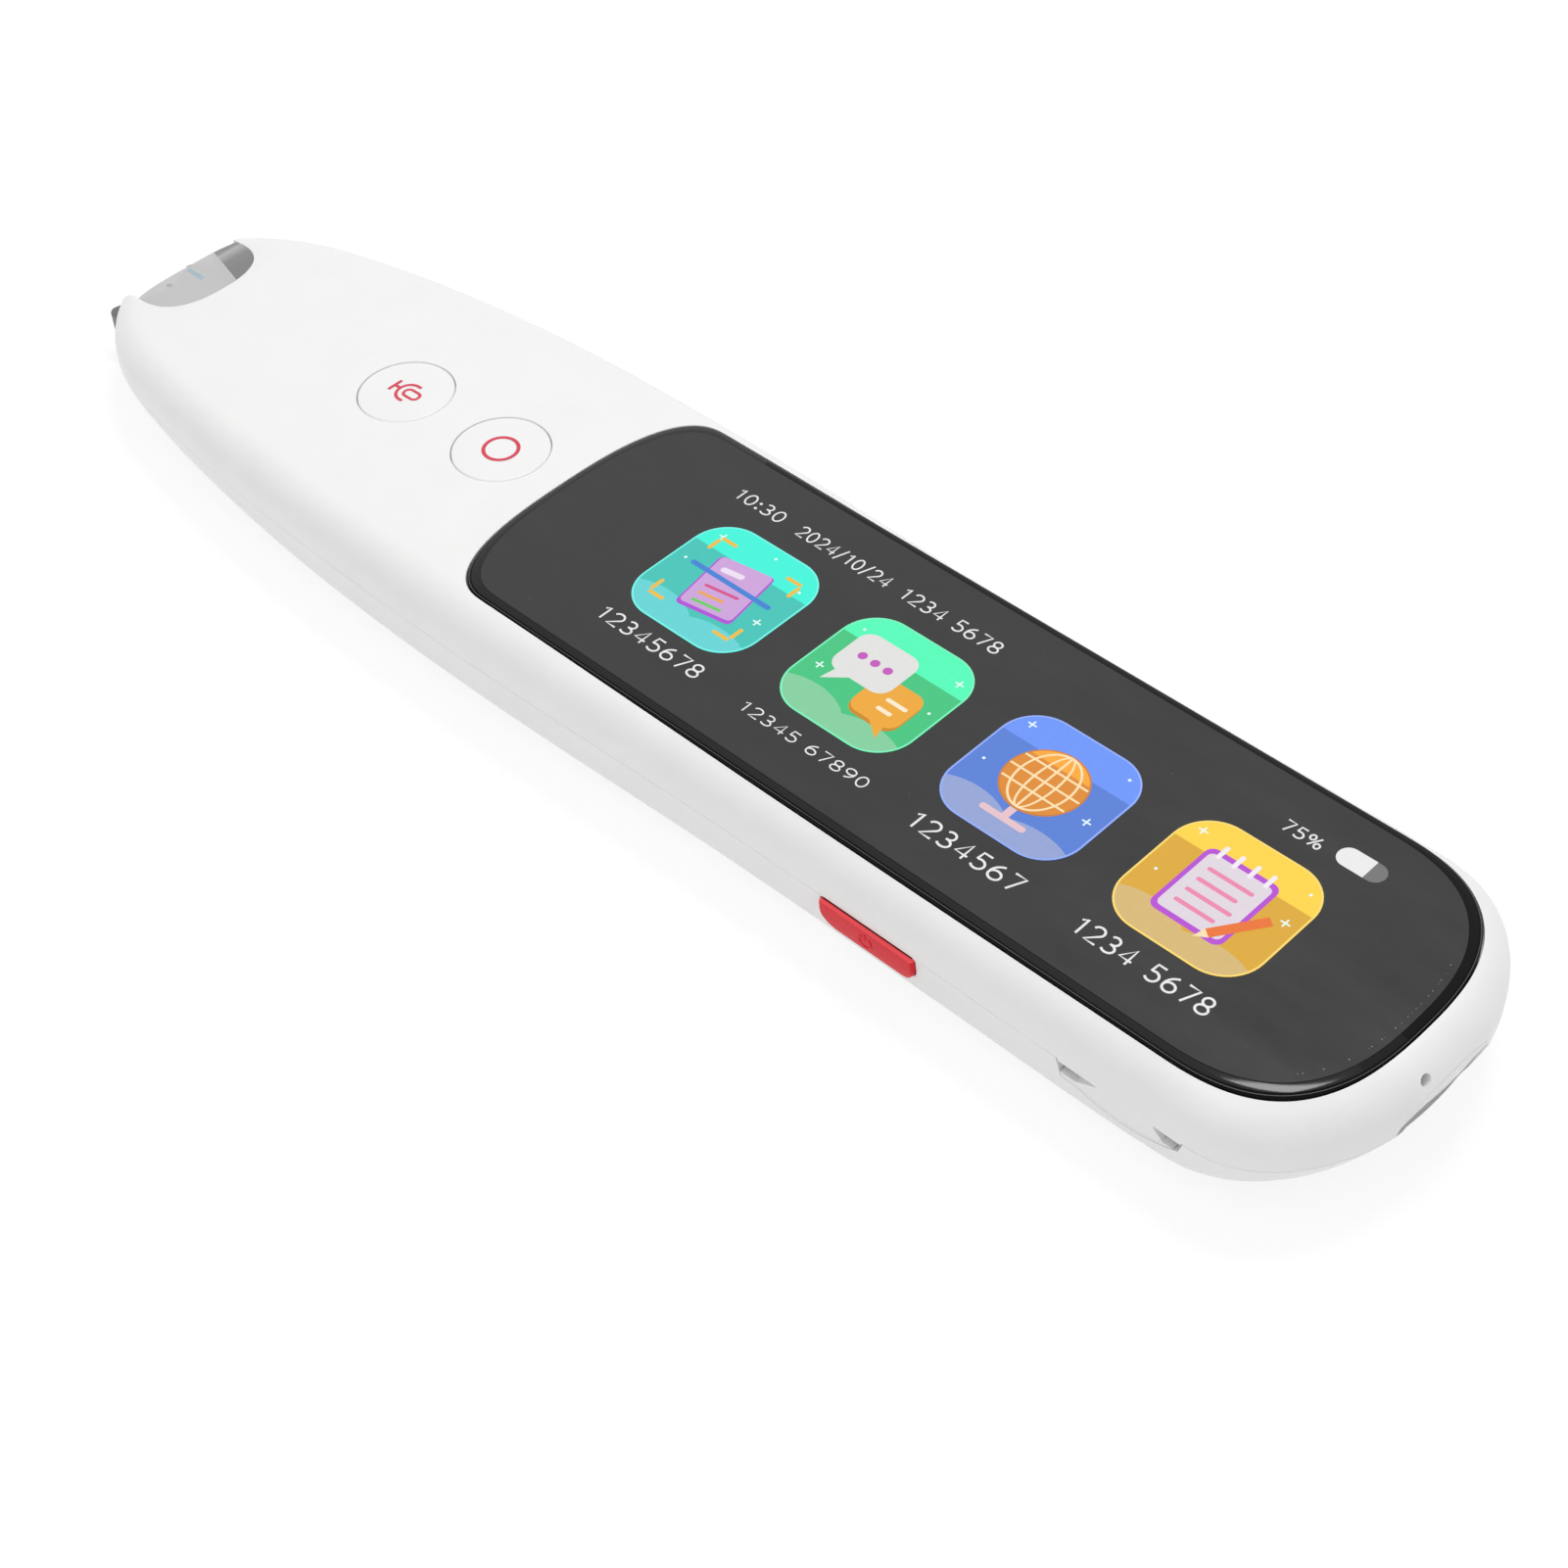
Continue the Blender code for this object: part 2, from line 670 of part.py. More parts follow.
def window_arch(inset, flare=0.0):
    """Plan of the notch in the tip: a rounded rear end and sides that may spread to the front."""
    rear = TIP_X + WINDOW_FROM_TIP - inset
    half = WINDOW_WIDTH / 2 - inset
    length = WINDOW_ARCH_LENGTH - inset
    side = [(rear, 0.0)]
    for i in range(1, TIP_STEPS + 1):
        angle = pi / 2 * i / TIP_STEPS
        side.append((rear - length * (1 - cos(angle) ** (2 / WINDOW_ARCH_POWER)),
                     half * sin(angle) ** (2 / WINDOW_ARCH_POWER)))
    start, end = TIP_X + WINDOW_FLARE_FROM_TIP, TIP_X - NIB_REACH - OVERRUN
    side += [(start, half), (end, half + flare * (start - end))]
    return [(x, -y) for x, y in reversed(side[1:])] + side


def window_front(inset):
    """Everything behind the window's front face, which leans back and curves back at its sides."""
    foot = TIP_X + WINDOW_FRONT_FROM_TIP - WINDOW_LEAN_SHARE * BODY_HEIGHT
    foot += inset * (1 + WINDOW_LEAN_SHARE ** 2) ** 0.5
    high = BODY_HEIGHT + OVERRUN
    rings = []
    for i in range(2 * TIP_STEPS + 1):
        y = (i / TIP_STEPS - 1) * BODY_WIDTH / 2
        front = foot + WINDOW_FRONT_SAG * (2 * y / WINDOW_WIDTH) ** 2
        outline = ((front, 0.0), (0.0, 0.0), (0.0, high), (front + WINDOW_LEAN_SHARE * high, high))
        rings.append([Vector((x, y, z)) for x, z in outline])
    return skin(rings)


def power_key_centre():
    return BUTT_X - POWER_KEY_FROM_BUTT


def power_key_outline(margin):
    """Front view of the red key; its straight upper edge lies along the parting line."""
    middle = power_key_centre()
    top = PARTING_HEIGHT - PARTING_GAP / 2 - FIT
    left, right = middle - POWER_KEY_LENGTH / 2, middle + POWER_KEY_LENGTH / 2
    radii = (POWER_KEY_FRONT_CORNER, POWER_KEY_REAR_CORNER, POWER_KEY_UPPER_CORNER, POWER_KEY_UPPER_CORNER)
    return rounded_outline(left - margin, top - POWER_KEY_HEIGHT - margin, right + margin, top + margin,
                           [radius + margin for radius in radii])


def power_flange():
    """Where the red key's flange starts, behind the lip of the lower shell, and where it ends."""
    start = -half_width(power_key_centre()) + INNER_INSET + POWER_KEY_SETBACK
    return start, start + POWER_KEY_FLANGE_THICKNESS


def strap_start():
    return BUTT_X - STRAP_FROM_BUTT - STRAP_SPAN / 2


def strap_lobe(margin, back):
    """The block behind the strap hole; its lower edge sags below the parting line."""
    middle = strap_start() + STRAP_SPAN / 2
    half = STRAP_SPAN / 2 + margin
    lower = [(middle + half * (2 * along - 1), PARTING_HEIGHT - STRAP_LOBE_DROP * down - margin)
             for along, down in STRAP_LOBE_SHARES]
    top = PARTING_HEIGHT + LIP_HEIGHT + STRAP_BLOCK_WALL + margin
    outline = lower + [(lower[-1][0], top), (lower[0][0], top)]
    return prism(outline, SIDE_FRAME, -strap_wall() - OVERRUN, back)


def strap_wall():
    return half_width(BUTT_X - STRAP_FROM_BUTT)


def strap_block_back():
    return -strap_wall() + STRAP_BRIDGE_DEPTH + STRAP_TUNNEL_DEPTH + STRAP_BLOCK_WALL


def strap_slots():
    """The tunnel behind the bridge and its two mouths, which taper towards the bridge."""
    wall = strap_wall()
    top = PARTING_HEIGHT - STRAP_SLOT_BELOW_PARTING
    low = top - STRAP_SLOT_HEIGHT
    start, end = strap_start() + FIT, strap_start() + STRAP_SPAN - FIT
    inner = -wall + STRAP_BRIDGE_DEPTH
    shapes = [box(start, end, inner, inner + STRAP_TUNNEL_DEPTH, low, top)]
    for side, edge, length in ((1, start, STRAP_FRONT_SLOT_LENGTH), (-1, end, STRAP_REAR_SLOT_LENGTH)):
        point = edge + side * length
        mouth = edge + side * STRAP_MOUTH_LENGTH
        outer_form = [(edge, top), (edge, low), (point, top - STRAP_SLOT_POINT_HEIGHT), (point, top)]
        inner_form = [(edge, top), (edge, low), (mouth, low), (mouth, top)]
        sections = ((outer_form, -wall - OVERRUN), (outer_form, -wall),
                    (inner_form, inner), (inner_form, inner + STRAP_TUNNEL_DEPTH / 2))
        shapes.append(skin([[Vector((x, depth, z)) for x, z in form] for form, depth in sections]))
    return shapes


def usb_outline(width, height):
    """A slot with round ends, centred on the parting line at the blunt end."""
    radius = height / 2 * ROUND_END_SHARE
    return rounded_outline(-width / 2, PARTING_HEIGHT - height / 2, width / 2, PARTING_HEIGHT + height / 2,
                           [radius] * 4)


def usb_front():
    return BUTT_X - USB_SETBACK


def end_skin(sections):
    """Join outlines in planes across the pen; each section is an outline and its X."""
    return skin([[Vector((x, y, z)) for y, z in outline] for outline, x in sections])


def usb_recess_outline():
    """An oval with one point beyond each point of the connector's own outline."""
    points = []
    for y, z in usb_outline(USB_WIDTH, USB_HEIGHT):
        rise = z - PARTING_HEIGHT
        grow = hypot(y / USB_RECESS_WIDTH, rise / USB_RECESS_HEIGHT) * 2
        points.append((y / grow, PARTING_HEIGHT + rise / grow))
    return points


def usb_opening():
    """The dished recess round the connector and the passage through the wall."""
    outer = usb_recess_outline()
    inner = usb_outline(USB_WIDTH + 2 * FIT, USB_HEIGHT + 2 * FIT)
    floor = usb_front()
    return end_skin(((outer, BUTT_X + OVERRUN), (outer, floor + USB_RECESS_DEPTH), (inner, floor),
                     (inner, floor - USB_LENGTH)))


def microphone_bore():
    """A bore square to the rounded upper edge of the blunt end."""
    rise = BODY_HEIGHT - WIDEST_HEIGHT
    share = 1 - MICROPHONE_BELOW_TOP / rise
    level = (1 - share ** 2) ** 0.5
    mouth = (BUTT_X - TOP_ROUND * (1 - level), -MICROPHONE_OFFSET, BODY_HEIGHT - MICROPHONE_BELOW_TOP)
    direction = (rise, 0.0, TOP_ROUND * share / level)
    radius = MICROPHONE_HOLE_DIAMETER / 2
    return drum(mouth, direction, ((radius, OVERRUN), (radius, -MICROPHONE_BORE_DEPTH)))


def make_top_shell():
    shell = finish(top_shell_skin(), "top_shell", white_plastic())
    block = finish(strap_lobe(0.0, strap_block_back()), "block", white_plastic())
    keep(block, body_skin(0.0))
    merge(shell, block, "UNION")
    boss_low = BOARD_TOP_Z + SEAT_GAP
    radius = SCREW_BORE / 2 + BOSS_WALL
    for x, y in boss_places():
        rise = top_height(x) - TOP_WALL / 2 - boss_low
        add(shell, drum((x, y, boss_low), UP, ((radius, 0.0), (radius, rise))))
    for x, y in boss_places():
        depth = SCREW_LENGTH - BOARD_THICKNESS + AIR
        cut(shell, drum((x, y, boss_low), UP, ((SCREW_BORE / 2, -AIR), (SCREW_BORE / 2, depth))))
    cut(shell, prism(glass_loop(-FIT), TOP_FRAME, SEAT_Z, GLASS_TOP_Z + OVERRUN))
    cut(shell, prism(glass_loop(ADHESIVE_WIDTH), TOP_FRAME, CEILING_Z - TOP_WALL, SEAT_Z + AIR))
    hole = KEY_DIAMETER / 2 + FIT
    for x in key_places().values():
        reach = ((hole, 0.0), (hole, TOP_WALL + 2 * OVERRUN))
        cut(shell, drum((x, 0, CEILING_Z - OVERRUN), UP, reach, ROUND_STEPS))
    sections = ((window_arch(0.0), 0.0), (window_arch(0.0), PARTING_HEIGHT),
                (window_arch(0.0, WINDOW_FLARE_SHARE), BODY_HEIGHT + OVERRUN))
    cut(shell, skin([[Vector((x, y, z)) for x, y in outline] for outline, z in sections]))
    for shape in strap_slots():
        cut(shell, shape)
    cut(shell, usb_opening())
    cut(shell, microphone_bore())


def nib_channel():
    """A cut that is open below as far as the nib's foot reaches, and stays above the floor for its arms."""
    front = TIP_X - NIB_REACH - OVERRUN
    rear = TIP_X - NIB_REACH + NIB_LENGTH + NIB_TRAVEL + FIT
    end, low = rear + NIB_LENGTH, arm_top() - NIB_ARM_HEIGHT - FIT
    outline = [(front, 0.0), (rear, 0.0), (rear, low), (end, low), (end, BODY_HEIGHT), (front, BODY_HEIGHT)]
    return prism(outline, SIDE_FRAME, -WINDOW_WIDTH / 2, WINDOW_WIDTH / 2)


def tip_switch_base():
    """Where the rear face of the tip switch stands: behind the nib's near arm and its travel."""
    x = TIP_X - NIB_REACH + NIB_LENGTH + NIB_ARM_LENGTH + NIB_TRAVEL + SWITCH_HEIGHT + SEAT_GAP
    return x, (NIB_ARM_WIDTH - NIB_WIDTH) / 2 + SEAT_GAP, arm_top() - NIB_ARM_HEIGHT / 2


def tip_switch_room():
    """The space that the tip switch needs above the floor."""
    x, y, z = tip_switch_base()
    half = SIDE_SWITCH_WIDTH / 2 + FIT
    return box(x - SWITCH_HEIGHT - FIT, x + FIT, y - half, y + half, z - half, z + half)


def usb_board_spans():
    """The two ends of the connector's board along the pen, and its lower and upper face."""
    top = PARTING_HEIGHT - USB_HEIGHT / 2 - SEAT_GAP
    end = BUTT_X - USB_BOARD_SETBACK
    return (end - USB_BOARD_LENGTH, end), (top - BOARD_THICKNESS, top)


def usb_board_room():
    (left, right), (low, high) = usb_board_spans()
    half = USB_BOARD_WIDTH / 2 + FIT
    return box(left - FIT, right + FIT, -half, half, low - FIT, high)


def speaker_middle():
    return BATTERY_END + SPEAKER_GAP + SPEAKER_LENGTH / 2


def battery_ribs():
    """Two ribs across the floor at the cell's ends and two lower ones along its sides."""
    start, end = BATTERY_START, BATTERY_END
    half = BATTERY_WIDTH / 2
    root, crest = FLOOR_WALL / 2, FLOOR_WALL + RIB_HEIGHT
    shapes = []
    for x in (start - RIB_GAP - RIB_THICKNESS, end + RIB_GAP):
        shapes.append(box(x, x + RIB_THICKNESS, -half, half, root, crest))
    for y in (-half - RIB_GAP - RIB_THICKNESS, half + RIB_GAP):
        shapes.append(box(start, end, y, y + RIB_THICKNESS, root, FLOOR_WALL + RIB_HEIGHT / 2))
    return shapes


def speaker_slots():
    half, length = SPEAKER_SLOT_WIDTH / 2, SPEAKER_SLOT_LENGTH / 2
    shapes = []
    for i in range(SPEAKER_SLOT_COUNT):
        x = speaker_middle() + (i - (SPEAKER_SLOT_COUNT - 1) / 2) * SPEAKER_SLOT_PITCH
        radius = half * ROUND_END_SHARE
        outline = rounded_outline(x - half, -length, x + half, length, [radius] * 4, SLOT_STEPS)
        shapes.append(prism(outline, TOP_FRAME, -OVERRUN, FLOOR_WALL + OVERRUN))
    return shapes


def make_bottom_shell():
    shell = finish(bottom_shell_skin(), "bottom_shell", white_plastic())
    for shape in battery_ribs():
        add(shell, shape)
    start, back = power_flange()
    cut(shell, prism(power_key_outline(FIT), SIDE_FRAME, -BODY_WIDTH / 2 - OVERRUN, start))
    room = power_key_outline(POWER_KEY_FLANGE_RIM + FIT)
    cut(shell, prism(room, SIDE_FRAME, start - SEAT_GAP, back + OVERRUN))
    cut(shell, strap_lobe(PARTING_GAP, strap_block_back() + PARTING_GAP))
    cut(shell, usb_opening())
    for shape in (nib_channel(), tip_switch_room(), usb_board_room()):
        cut(shell, shape)
    for shape in speaker_slots():
        cut(shell, shape)


def make_glass():
    edge = GLASS_BOTTOM_Z + GLASS_EDGE_HEIGHT
    rings = [[Vector((x, y, GLASS_BOTTOM_Z)) for x, y in glass_loop(0.0)]]
    for share in GLASS_LEVEL_SHARES:
        inset = GLASS_ROUND * (1 - (1 - share ** 2) ** 0.5)
        height = edge + share * (GLASS_TOP_Z - edge)
        rings.append([Vector((x, y, height)) for x, y in glass_loop(inset)])
    finish(skin_mirrored(rings), "cover_glass", dark_glass())


def make_adhesive():
    low = SEAT_Z + SEAT_GAP
    high = low + ADHESIVE_THICKNESS
    inner = ADHESIVE_WIDTH - FIT
    rings = [[Vector((x, y, z)) for x, y in glass_loop(inset)]
             for inset, z in ((0.0, low), (0.0, high), (inner, high), (inner, low))]
    finish(tube(rings), "glass_adhesive", foam())


def make_display():
    left = GLASS_TIP_X + PANEL_FROM_GLASS_TIP
    right = GLASS_BUTT_X - PANEL_FROM_GLASS_BUTT
    plate("display_panel", (left, right), PANEL_WIDTH, (PANEL_TOP_Z - PANEL_THICKNESS, PANEL_TOP_Z),
          PANEL_CORNER, dark_glass())
    tray = plate("display_tray", (left + TRAY_MARGIN, right - TRAY_MARGIN), PANEL_WIDTH - 2 * TRAY_MARGIN,
                 (TRAY_TOP_Z - TRAY_THICKNESS, TRAY_TOP_Z), PANEL_CORNER, steel())
    slot = left + TRAY_SLOT_LENGTH
    cut(tray, box(slot, slot + TRAY_SLOT_WIDTH, -TRAY_SLOT_LENGTH / 2, TRAY_SLOT_LENGTH / 2,
                  TRAY_TOP_Z - OVERRUN, TRAY_TOP_Z + OVERRUN))


def make_round_key(name, x):
    """A key whose top follows the body's slope, with a wider flange below the wall."""
    low = BOARD_TOP_Z + SEAT_GAP + SWITCH_HEIGHT + KEY_TRAVEL + SEAT_GAP
    flange_top = low + KEY_FLANGE_THICKNESS
    radius, flange = KEY_DIAMETER / 2, KEY_FLANGE_DIAMETER / 2

    def ring(size, height_at):
        angles = [tau * i / ROUND_STEPS for i in range(ROUND_STEPS)]
        places = [(x + size * cos(angle), size * sin(angle)) for angle in angles]
        return [Vector((px, py, height_at(px))) for px, py in places]
    rings = [ring(flange, lambda px: low), ring(flange, lambda px: flange_top),
             ring(radius, lambda px: flange_top), ring(radius, lambda px: top_height(px) - KEY_EDGE_ROUND),
             ring(radius - KEY_EDGE_ROUND, top_height)]
    return finish(skin(rings), name, white_plastic(), (x, 0, top_height(x)))


def make_switch(name, centre, direction, width, plunger):
    """A square switch with a bore for its round plunger."""
    along = Vector(direction)
    side = Vector((0, 1, 0)) if along.y == 0 else Vector((1, 0, 0))
    up = along.cross(side)
    half = width / 2
    outline = rounded_outline(-half, -half, half, half, [plunger / 4] * 4, SLOT_STEPS)
    block = prism(outline, (side, up, along), 0.0, SWITCH_HEIGHT, centre)
    body = finish(block, name + "_switch", black_plastic())
    radius = plunger / 2 + FIT
    bore = ((radius, SWITCH_HEIGHT - SWITCH_BORE_DEPTH), (radius, SWITCH_HEIGHT + OVERRUN))
    cut(body, drum(centre, direction, bore))


def make_plunger(name, centre, direction, diameter, travel, origin):
    """The plunger reaches from the bore up to the piece that presses it."""
    start = SWITCH_HEIGHT - SWITCH_BORE_DEPTH + travel + SEAT_GAP
    end = SWITCH_HEIGHT + travel
    radius = diameter / 2
    made = drum(centre, direction, ((radius, start), (radius, end)))
    finish(made, name + "_plunger", grey_plastic(), origin)


def make_keys():
    for name, x in key_places().items():
        key = make_round_key(name + "_key", x)
        base = (x, 0, BOARD_TOP_Z + SEAT_GAP)
        make_switch(name, base, UP, SWITCH_WIDTH, PLUNGER_DIAMETER)
        make_plunger(name, base, UP, PLUNGER_DIAMETER, KEY_TRAVEL, key.location.copy())


def make_power_key():
    middle = power_key_centre()
    start, back = power_flange()
    front = prism(power_key_outline(0.0), SIDE_FRAME, -BODY_WIDTH / 2 - OVERRUN, (start + back) / 2)
    key = finish(front, "power_key", red_plastic())
    keep(key, body_skin(-POWER_KEY_PROUD))
    add(key, prism(power_key_outline(POWER_KEY_FLANGE_RIM), SIDE_FRAME, start, back))
    origin = Vector((middle, -half_width(middle) - POWER_KEY_PROUD, PARTING_HEIGHT - POWER_KEY_HEIGHT / 2))
    move_origin(key, origin)
    depth = back + SEAT_GAP + POWER_KEY_TRAVEL + SWITCH_HEIGHT
    base = (middle, depth, BOARD_BOTTOM_Z - SEAT_GAP - SIDE_SWITCH_WIDTH / 2)
    make_switch("power", base, NEARWARD, SIDE_SWITCH_WIDTH, SIDE_PLUNGER_DIAMETER)
    make_plunger("power", base, NEARWARD, SIDE_PLUNGER_DIAMETER, POWER_KEY_TRAVEL, origin)


def make_window():
    """A bent sheet: the body's own form in the notch, with a flat face that leans back."""
    window = finish(body_skin(WINDOW_RECESS), "scan_window", smoke_plastic())
    keep(window, prism(window_arch(FIT), TOP_FRAME, arm_top() + AIR, BODY_HEIGHT + OVERRUN))
    keep(window, window_front(0.0))
    hollow = finish(body_skin(WINDOW_RECESS + WINDOW_THICKNESS), "hollow", smoke_plastic())
    keep(hollow, window_front(WINDOW_THICKNESS))
    merge(window, hollow, "DIFFERENCE")


def nib_bottom():
    return parting_height(TIP_X) - NIB_BELOW_PARTING


def nib_top():
    return nib_bottom() + NIB_HEIGHT


def arm_top():
    return nib_top() + NIB_ARM_RISE


def nib_outline():
    """Plan of the foot: rounded front corners with a shallow scoop between them."""
    front = TIP_X - NIB_REACH
    half = NIB_WIDTH / 2
    outline = rounded_outline(front, -half, front + NIB_LENGTH, half, (NIB_CORNER, 0.0, 0.0, NIB_CORNER))
    for i in range(1, TIP_STEPS):
        across = 1 - 2 * i / TIP_STEPS
        outline.append((front + NIB_SCOOP_DEPTH * (1 - across ** 2), across * NIB_SCOOP_WIDTH / 2))
    return outline


def make_nib():
    """A wide sliding foot with two arms, the near one of which reaches the tip switch."""
    half = NIB_WIDTH / 2
    low, high = nib_bottom(), nib_top()
    rear = TIP_X - NIB_REACH + NIB_LENGTH
    nib = finish(prism(nib_outline(), TOP_FRAME, low, high), "nib_slider", smoke_plastic())
    end = rear + NIB_ARM_LENGTH
    arm_high = arm_top()
    arm_low = arm_high - NIB_ARM_HEIGHT
    for y in (-half + SEAT_GAP, half - NIB_ARM_WIDTH):
        add(nib, box(rear - NIB_ARM_WIDTH, end, y, y + NIB_ARM_WIDTH - SEAT_GAP, arm_low, arm_high))
    origin = Vector((TIP_X - NIB_REACH, 0, (low + high) / 2))
    move_origin(nib, origin)
    base = tip_switch_base()
    make_switch("tip", base, TIPWARD, SIDE_SWITCH_WIDTH, SIDE_PLUNGER_DIAMETER)
    make_plunger("tip", base, TIPWARD, SIDE_PLUNGER_DIAMETER, NIB_TRAVEL, origin)


def make_duct():
    """A tapering rectangular duct, open at both ends, with the two lamps on it."""
    front = TIP_X + DUCT_FROM_TIP
    low = arm_top() - NIB_ARM_HEIGHT + SEAT_GAP
    high = low + DUCT_HEIGHT

    def section(width, x, wall):
        half = width / 2 - wall
        return [Vector((x, y, z)) for y, z in box_outline(-half, low + wall, half, high - wall)]
    rear = front + DUCT_LENGTH
    rings = [section(DUCT_FRONT_WIDTH, front, 0.0), section(DUCT_REAR_WIDTH, rear, 0.0),
             section(DUCT_REAR_WIDTH, rear, DUCT_WALL), section(DUCT_FRONT_WIDTH, front, DUCT_WALL)]
    finish(tube(rings), "light_duct", grey_plastic())
    left, top = front + WINDOW_FRONT_SAG + SEAT_GAP, high + SEAT_GAP
    side, half = LAMP_OFFSET, LAMP_WIDTH / 2
    lamp = box(left, left + LAMP_LENGTH, side - half, side + half, top, top + LAMP_HEIGHT)
    add_bevel(finish(lamp, "scan_lamp", black_plastic()), COMPONENT_BEVEL / 2, 1)
    aim_radius = AIM_LAMP_DIAMETER / 2
    aim = drum((left + AIM_LAMP_DIAMETER, -AIM_LAMP_OFFSET, top), UP,
               ((aim_radius, 0.0), (aim_radius, AIM_LAMP_HEIGHT)), FINE_ROUND_STEPS)
    finish(aim, "aim_lamp", black_plastic())


def make_camera():
    """The lens sits in the front of the barrel, and the barrel against the camera's housing."""
    lens_x = TIP_X + DUCT_FROM_TIP + DUCT_LENGTH + AIR
    start = lens_x + LENS_THICKNESS / 3
    left = start + BARREL_LENGTH + SEAT_GAP
    low = underside_height(left) + FLOOR_WALL + CAMERA_AIR
    high = top_height(left) - TOP_WALL - CAMERA_AIR
    axis = (low + high) / 2
    radius = (high - low) / 2 - BARREL_STEP
    seat = radius - BARREL_WALL
    lens_radius = seat - SEAT_GAP
    profile = ((lens_radius / 2, 0.0), (lens_radius, LENS_THICKNESS / 3), (lens_radius, LENS_THICKNESS))
    finish(drum((lens_x, 0, axis), BUTTWARD, profile), "camera_lens", dark_glass())
    barrel = drum((start, 0, axis), BUTTWARD, ((radius, 0.0), (radius, BARREL_LENGTH)))
    barrel = finish(barrel, "lens_barrel", black_plastic())
    cut(barrel, drum((start, 0, axis), BUTTWARD, ((seat, -OVERRUN), (seat, LENS_THICKNESS))))
    half = CAMERA_WIDTH / 2
    outline = rounded_outline(-half, low, half, high, [CAMERA_CORNER] * 4, SLOT_STEPS)
    finish(end_skin(((outline, left), (outline, left + CAMERA_LENGTH))), "camera_body", black_plastic())


def board_outline():
    """The board follows the inside of the body."""
    start, end = TIP_X + BOARD_FROM_TIP, BUTT_X - BOARD_FROM_BUTT
    near = []
    for i in range(SIDE_STEPS + 1):
        x = start + (end - start) * i / SIDE_STEPS
        near.append((x, -board_edge(x)))
    return near + [(x, -y) for x, y in reversed(near)]


def make_board():
    body = prism(board_outline(), TOP_FRAME, BOARD_BOTTOM_Z, BOARD_TOP_Z)
    board = finish(body, "main_board", board_green())
    hole = ((SCREW_BORE / 2, -AIR), (SCREW_BORE / 2, BOARD_THICKNESS + AIR))
    for x, y in boss_places():
        cut(board, drum((x, y, BOARD_BOTTOM_Z), UP, hole, FINE_ROUND_STEPS))
    left, right = strap_start() - AIR, strap_start() + STRAP_SPAN + AIR
    cut(board, box(left, right, -BODY_WIDTH / 2, strap_block_back() + AIR, 0.0, BODY_HEIGHT))


def make_board_screws():
    head, shank = SCREW_HEAD_DIAMETER / 2, SCREW_DIAMETER / 2
    profile = ((head - COMPONENT_BEVEL, 0.0), (head, COMPONENT_BEVEL), (head, SCREW_HEAD_HEIGHT),
               (shank, SCREW_HEAD_HEIGHT), (shank, SCREW_HEAD_HEIGHT + SCREW_LENGTH))
    low = BOARD_BOTTOM_Z - SEAT_GAP - SCREW_HEAD_HEIGHT
    for number, (x, y) in enumerate(boss_places(), 1):
        finish(drum((x, y, low), UP, profile, FINE_ROUND_STEPS), f"board_screw_{number}", steel())


def make_component(name, from_tip, size, paint):
    """A bevelled block on the main board."""
    length, width, height = size
    middle = TIP_X + from_tip
    low = BOARD_TOP_Z + SEAT_GAP
    piece = box(middle - length / 2, middle + length / 2, -width / 2, width / 2, low, low + height)
    add_bevel(finish(piece, name, paint), COMPONENT_BEVEL, 1)


def make_components():
    can = (CAN_LENGTH, CAN_WIDTH, CAN_HEIGHT)
    chip = (CHIP_LENGTH, CHIP_WIDTH, CHIP_HEIGHT)
    plug = (PLUG_LENGTH, PLUG_WIDTH, PLUG_HEIGHT)
    make_component("shield_can", CAN_FROM_TIP, can, steel())
    make_component("memory_chip", CHIP_FROM_TIP, chip, black_plastic())
    make_component("battery_plug", PLUG_FROM_TIP, plug, grey_plastic())


def make_battery():
    start, end = BATTERY_START, BATTERY_END
    floor = FLOOR_WALL + SEAT_GAP
    plate("battery_pad", (start + BATTERY_PAD_MARGIN, end - BATTERY_PAD_MARGIN),
          BATTERY_WIDTH - 2 * BATTERY_PAD_MARGIN, (floor, floor + PAD_THICKNESS), BATTERY_BEVEL, foam())
    levels = (floor + PAD_THICKNESS + SEAT_GAP, BOARD_BOTTOM_Z - BATTERY_AIR)
    cell = plate("battery_cell", (start, end), BATTERY_WIDTH, levels, BATTERY_BEVEL, foil())
    add_bevel(cell, BATTERY_BEVEL)


def make_speaker():
    middle = speaker_middle()
    left, right = middle - SPEAKER_LENGTH / 2, middle + SPEAKER_LENGTH / 2
    floor = underside_height(right) + FLOOR_WALL + SEAT_GAP
    net = SPEAKER_SLOT_LENGTH + 2 * SPEAKER_SLOT_WIDTH
    plate("speaker_mesh", (left + RIB_THICKNESS, right - RIB_THICKNESS), net, (floor, floor + MESH_THICKNESS),
          SPEAKER_CORNER / 2, foam())
    low = floor + MESH_THICKNESS + SEAT_GAP
    levels = (low, BOARD_BOTTOM_Z - SPEAKER_AIR)
    unit = plate("speaker_unit", (left, right), SPEAKER_WIDTH, levels, SPEAKER_CORNER, black_plastic())
    add_bevel(unit, COMPONENT_BEVEL)


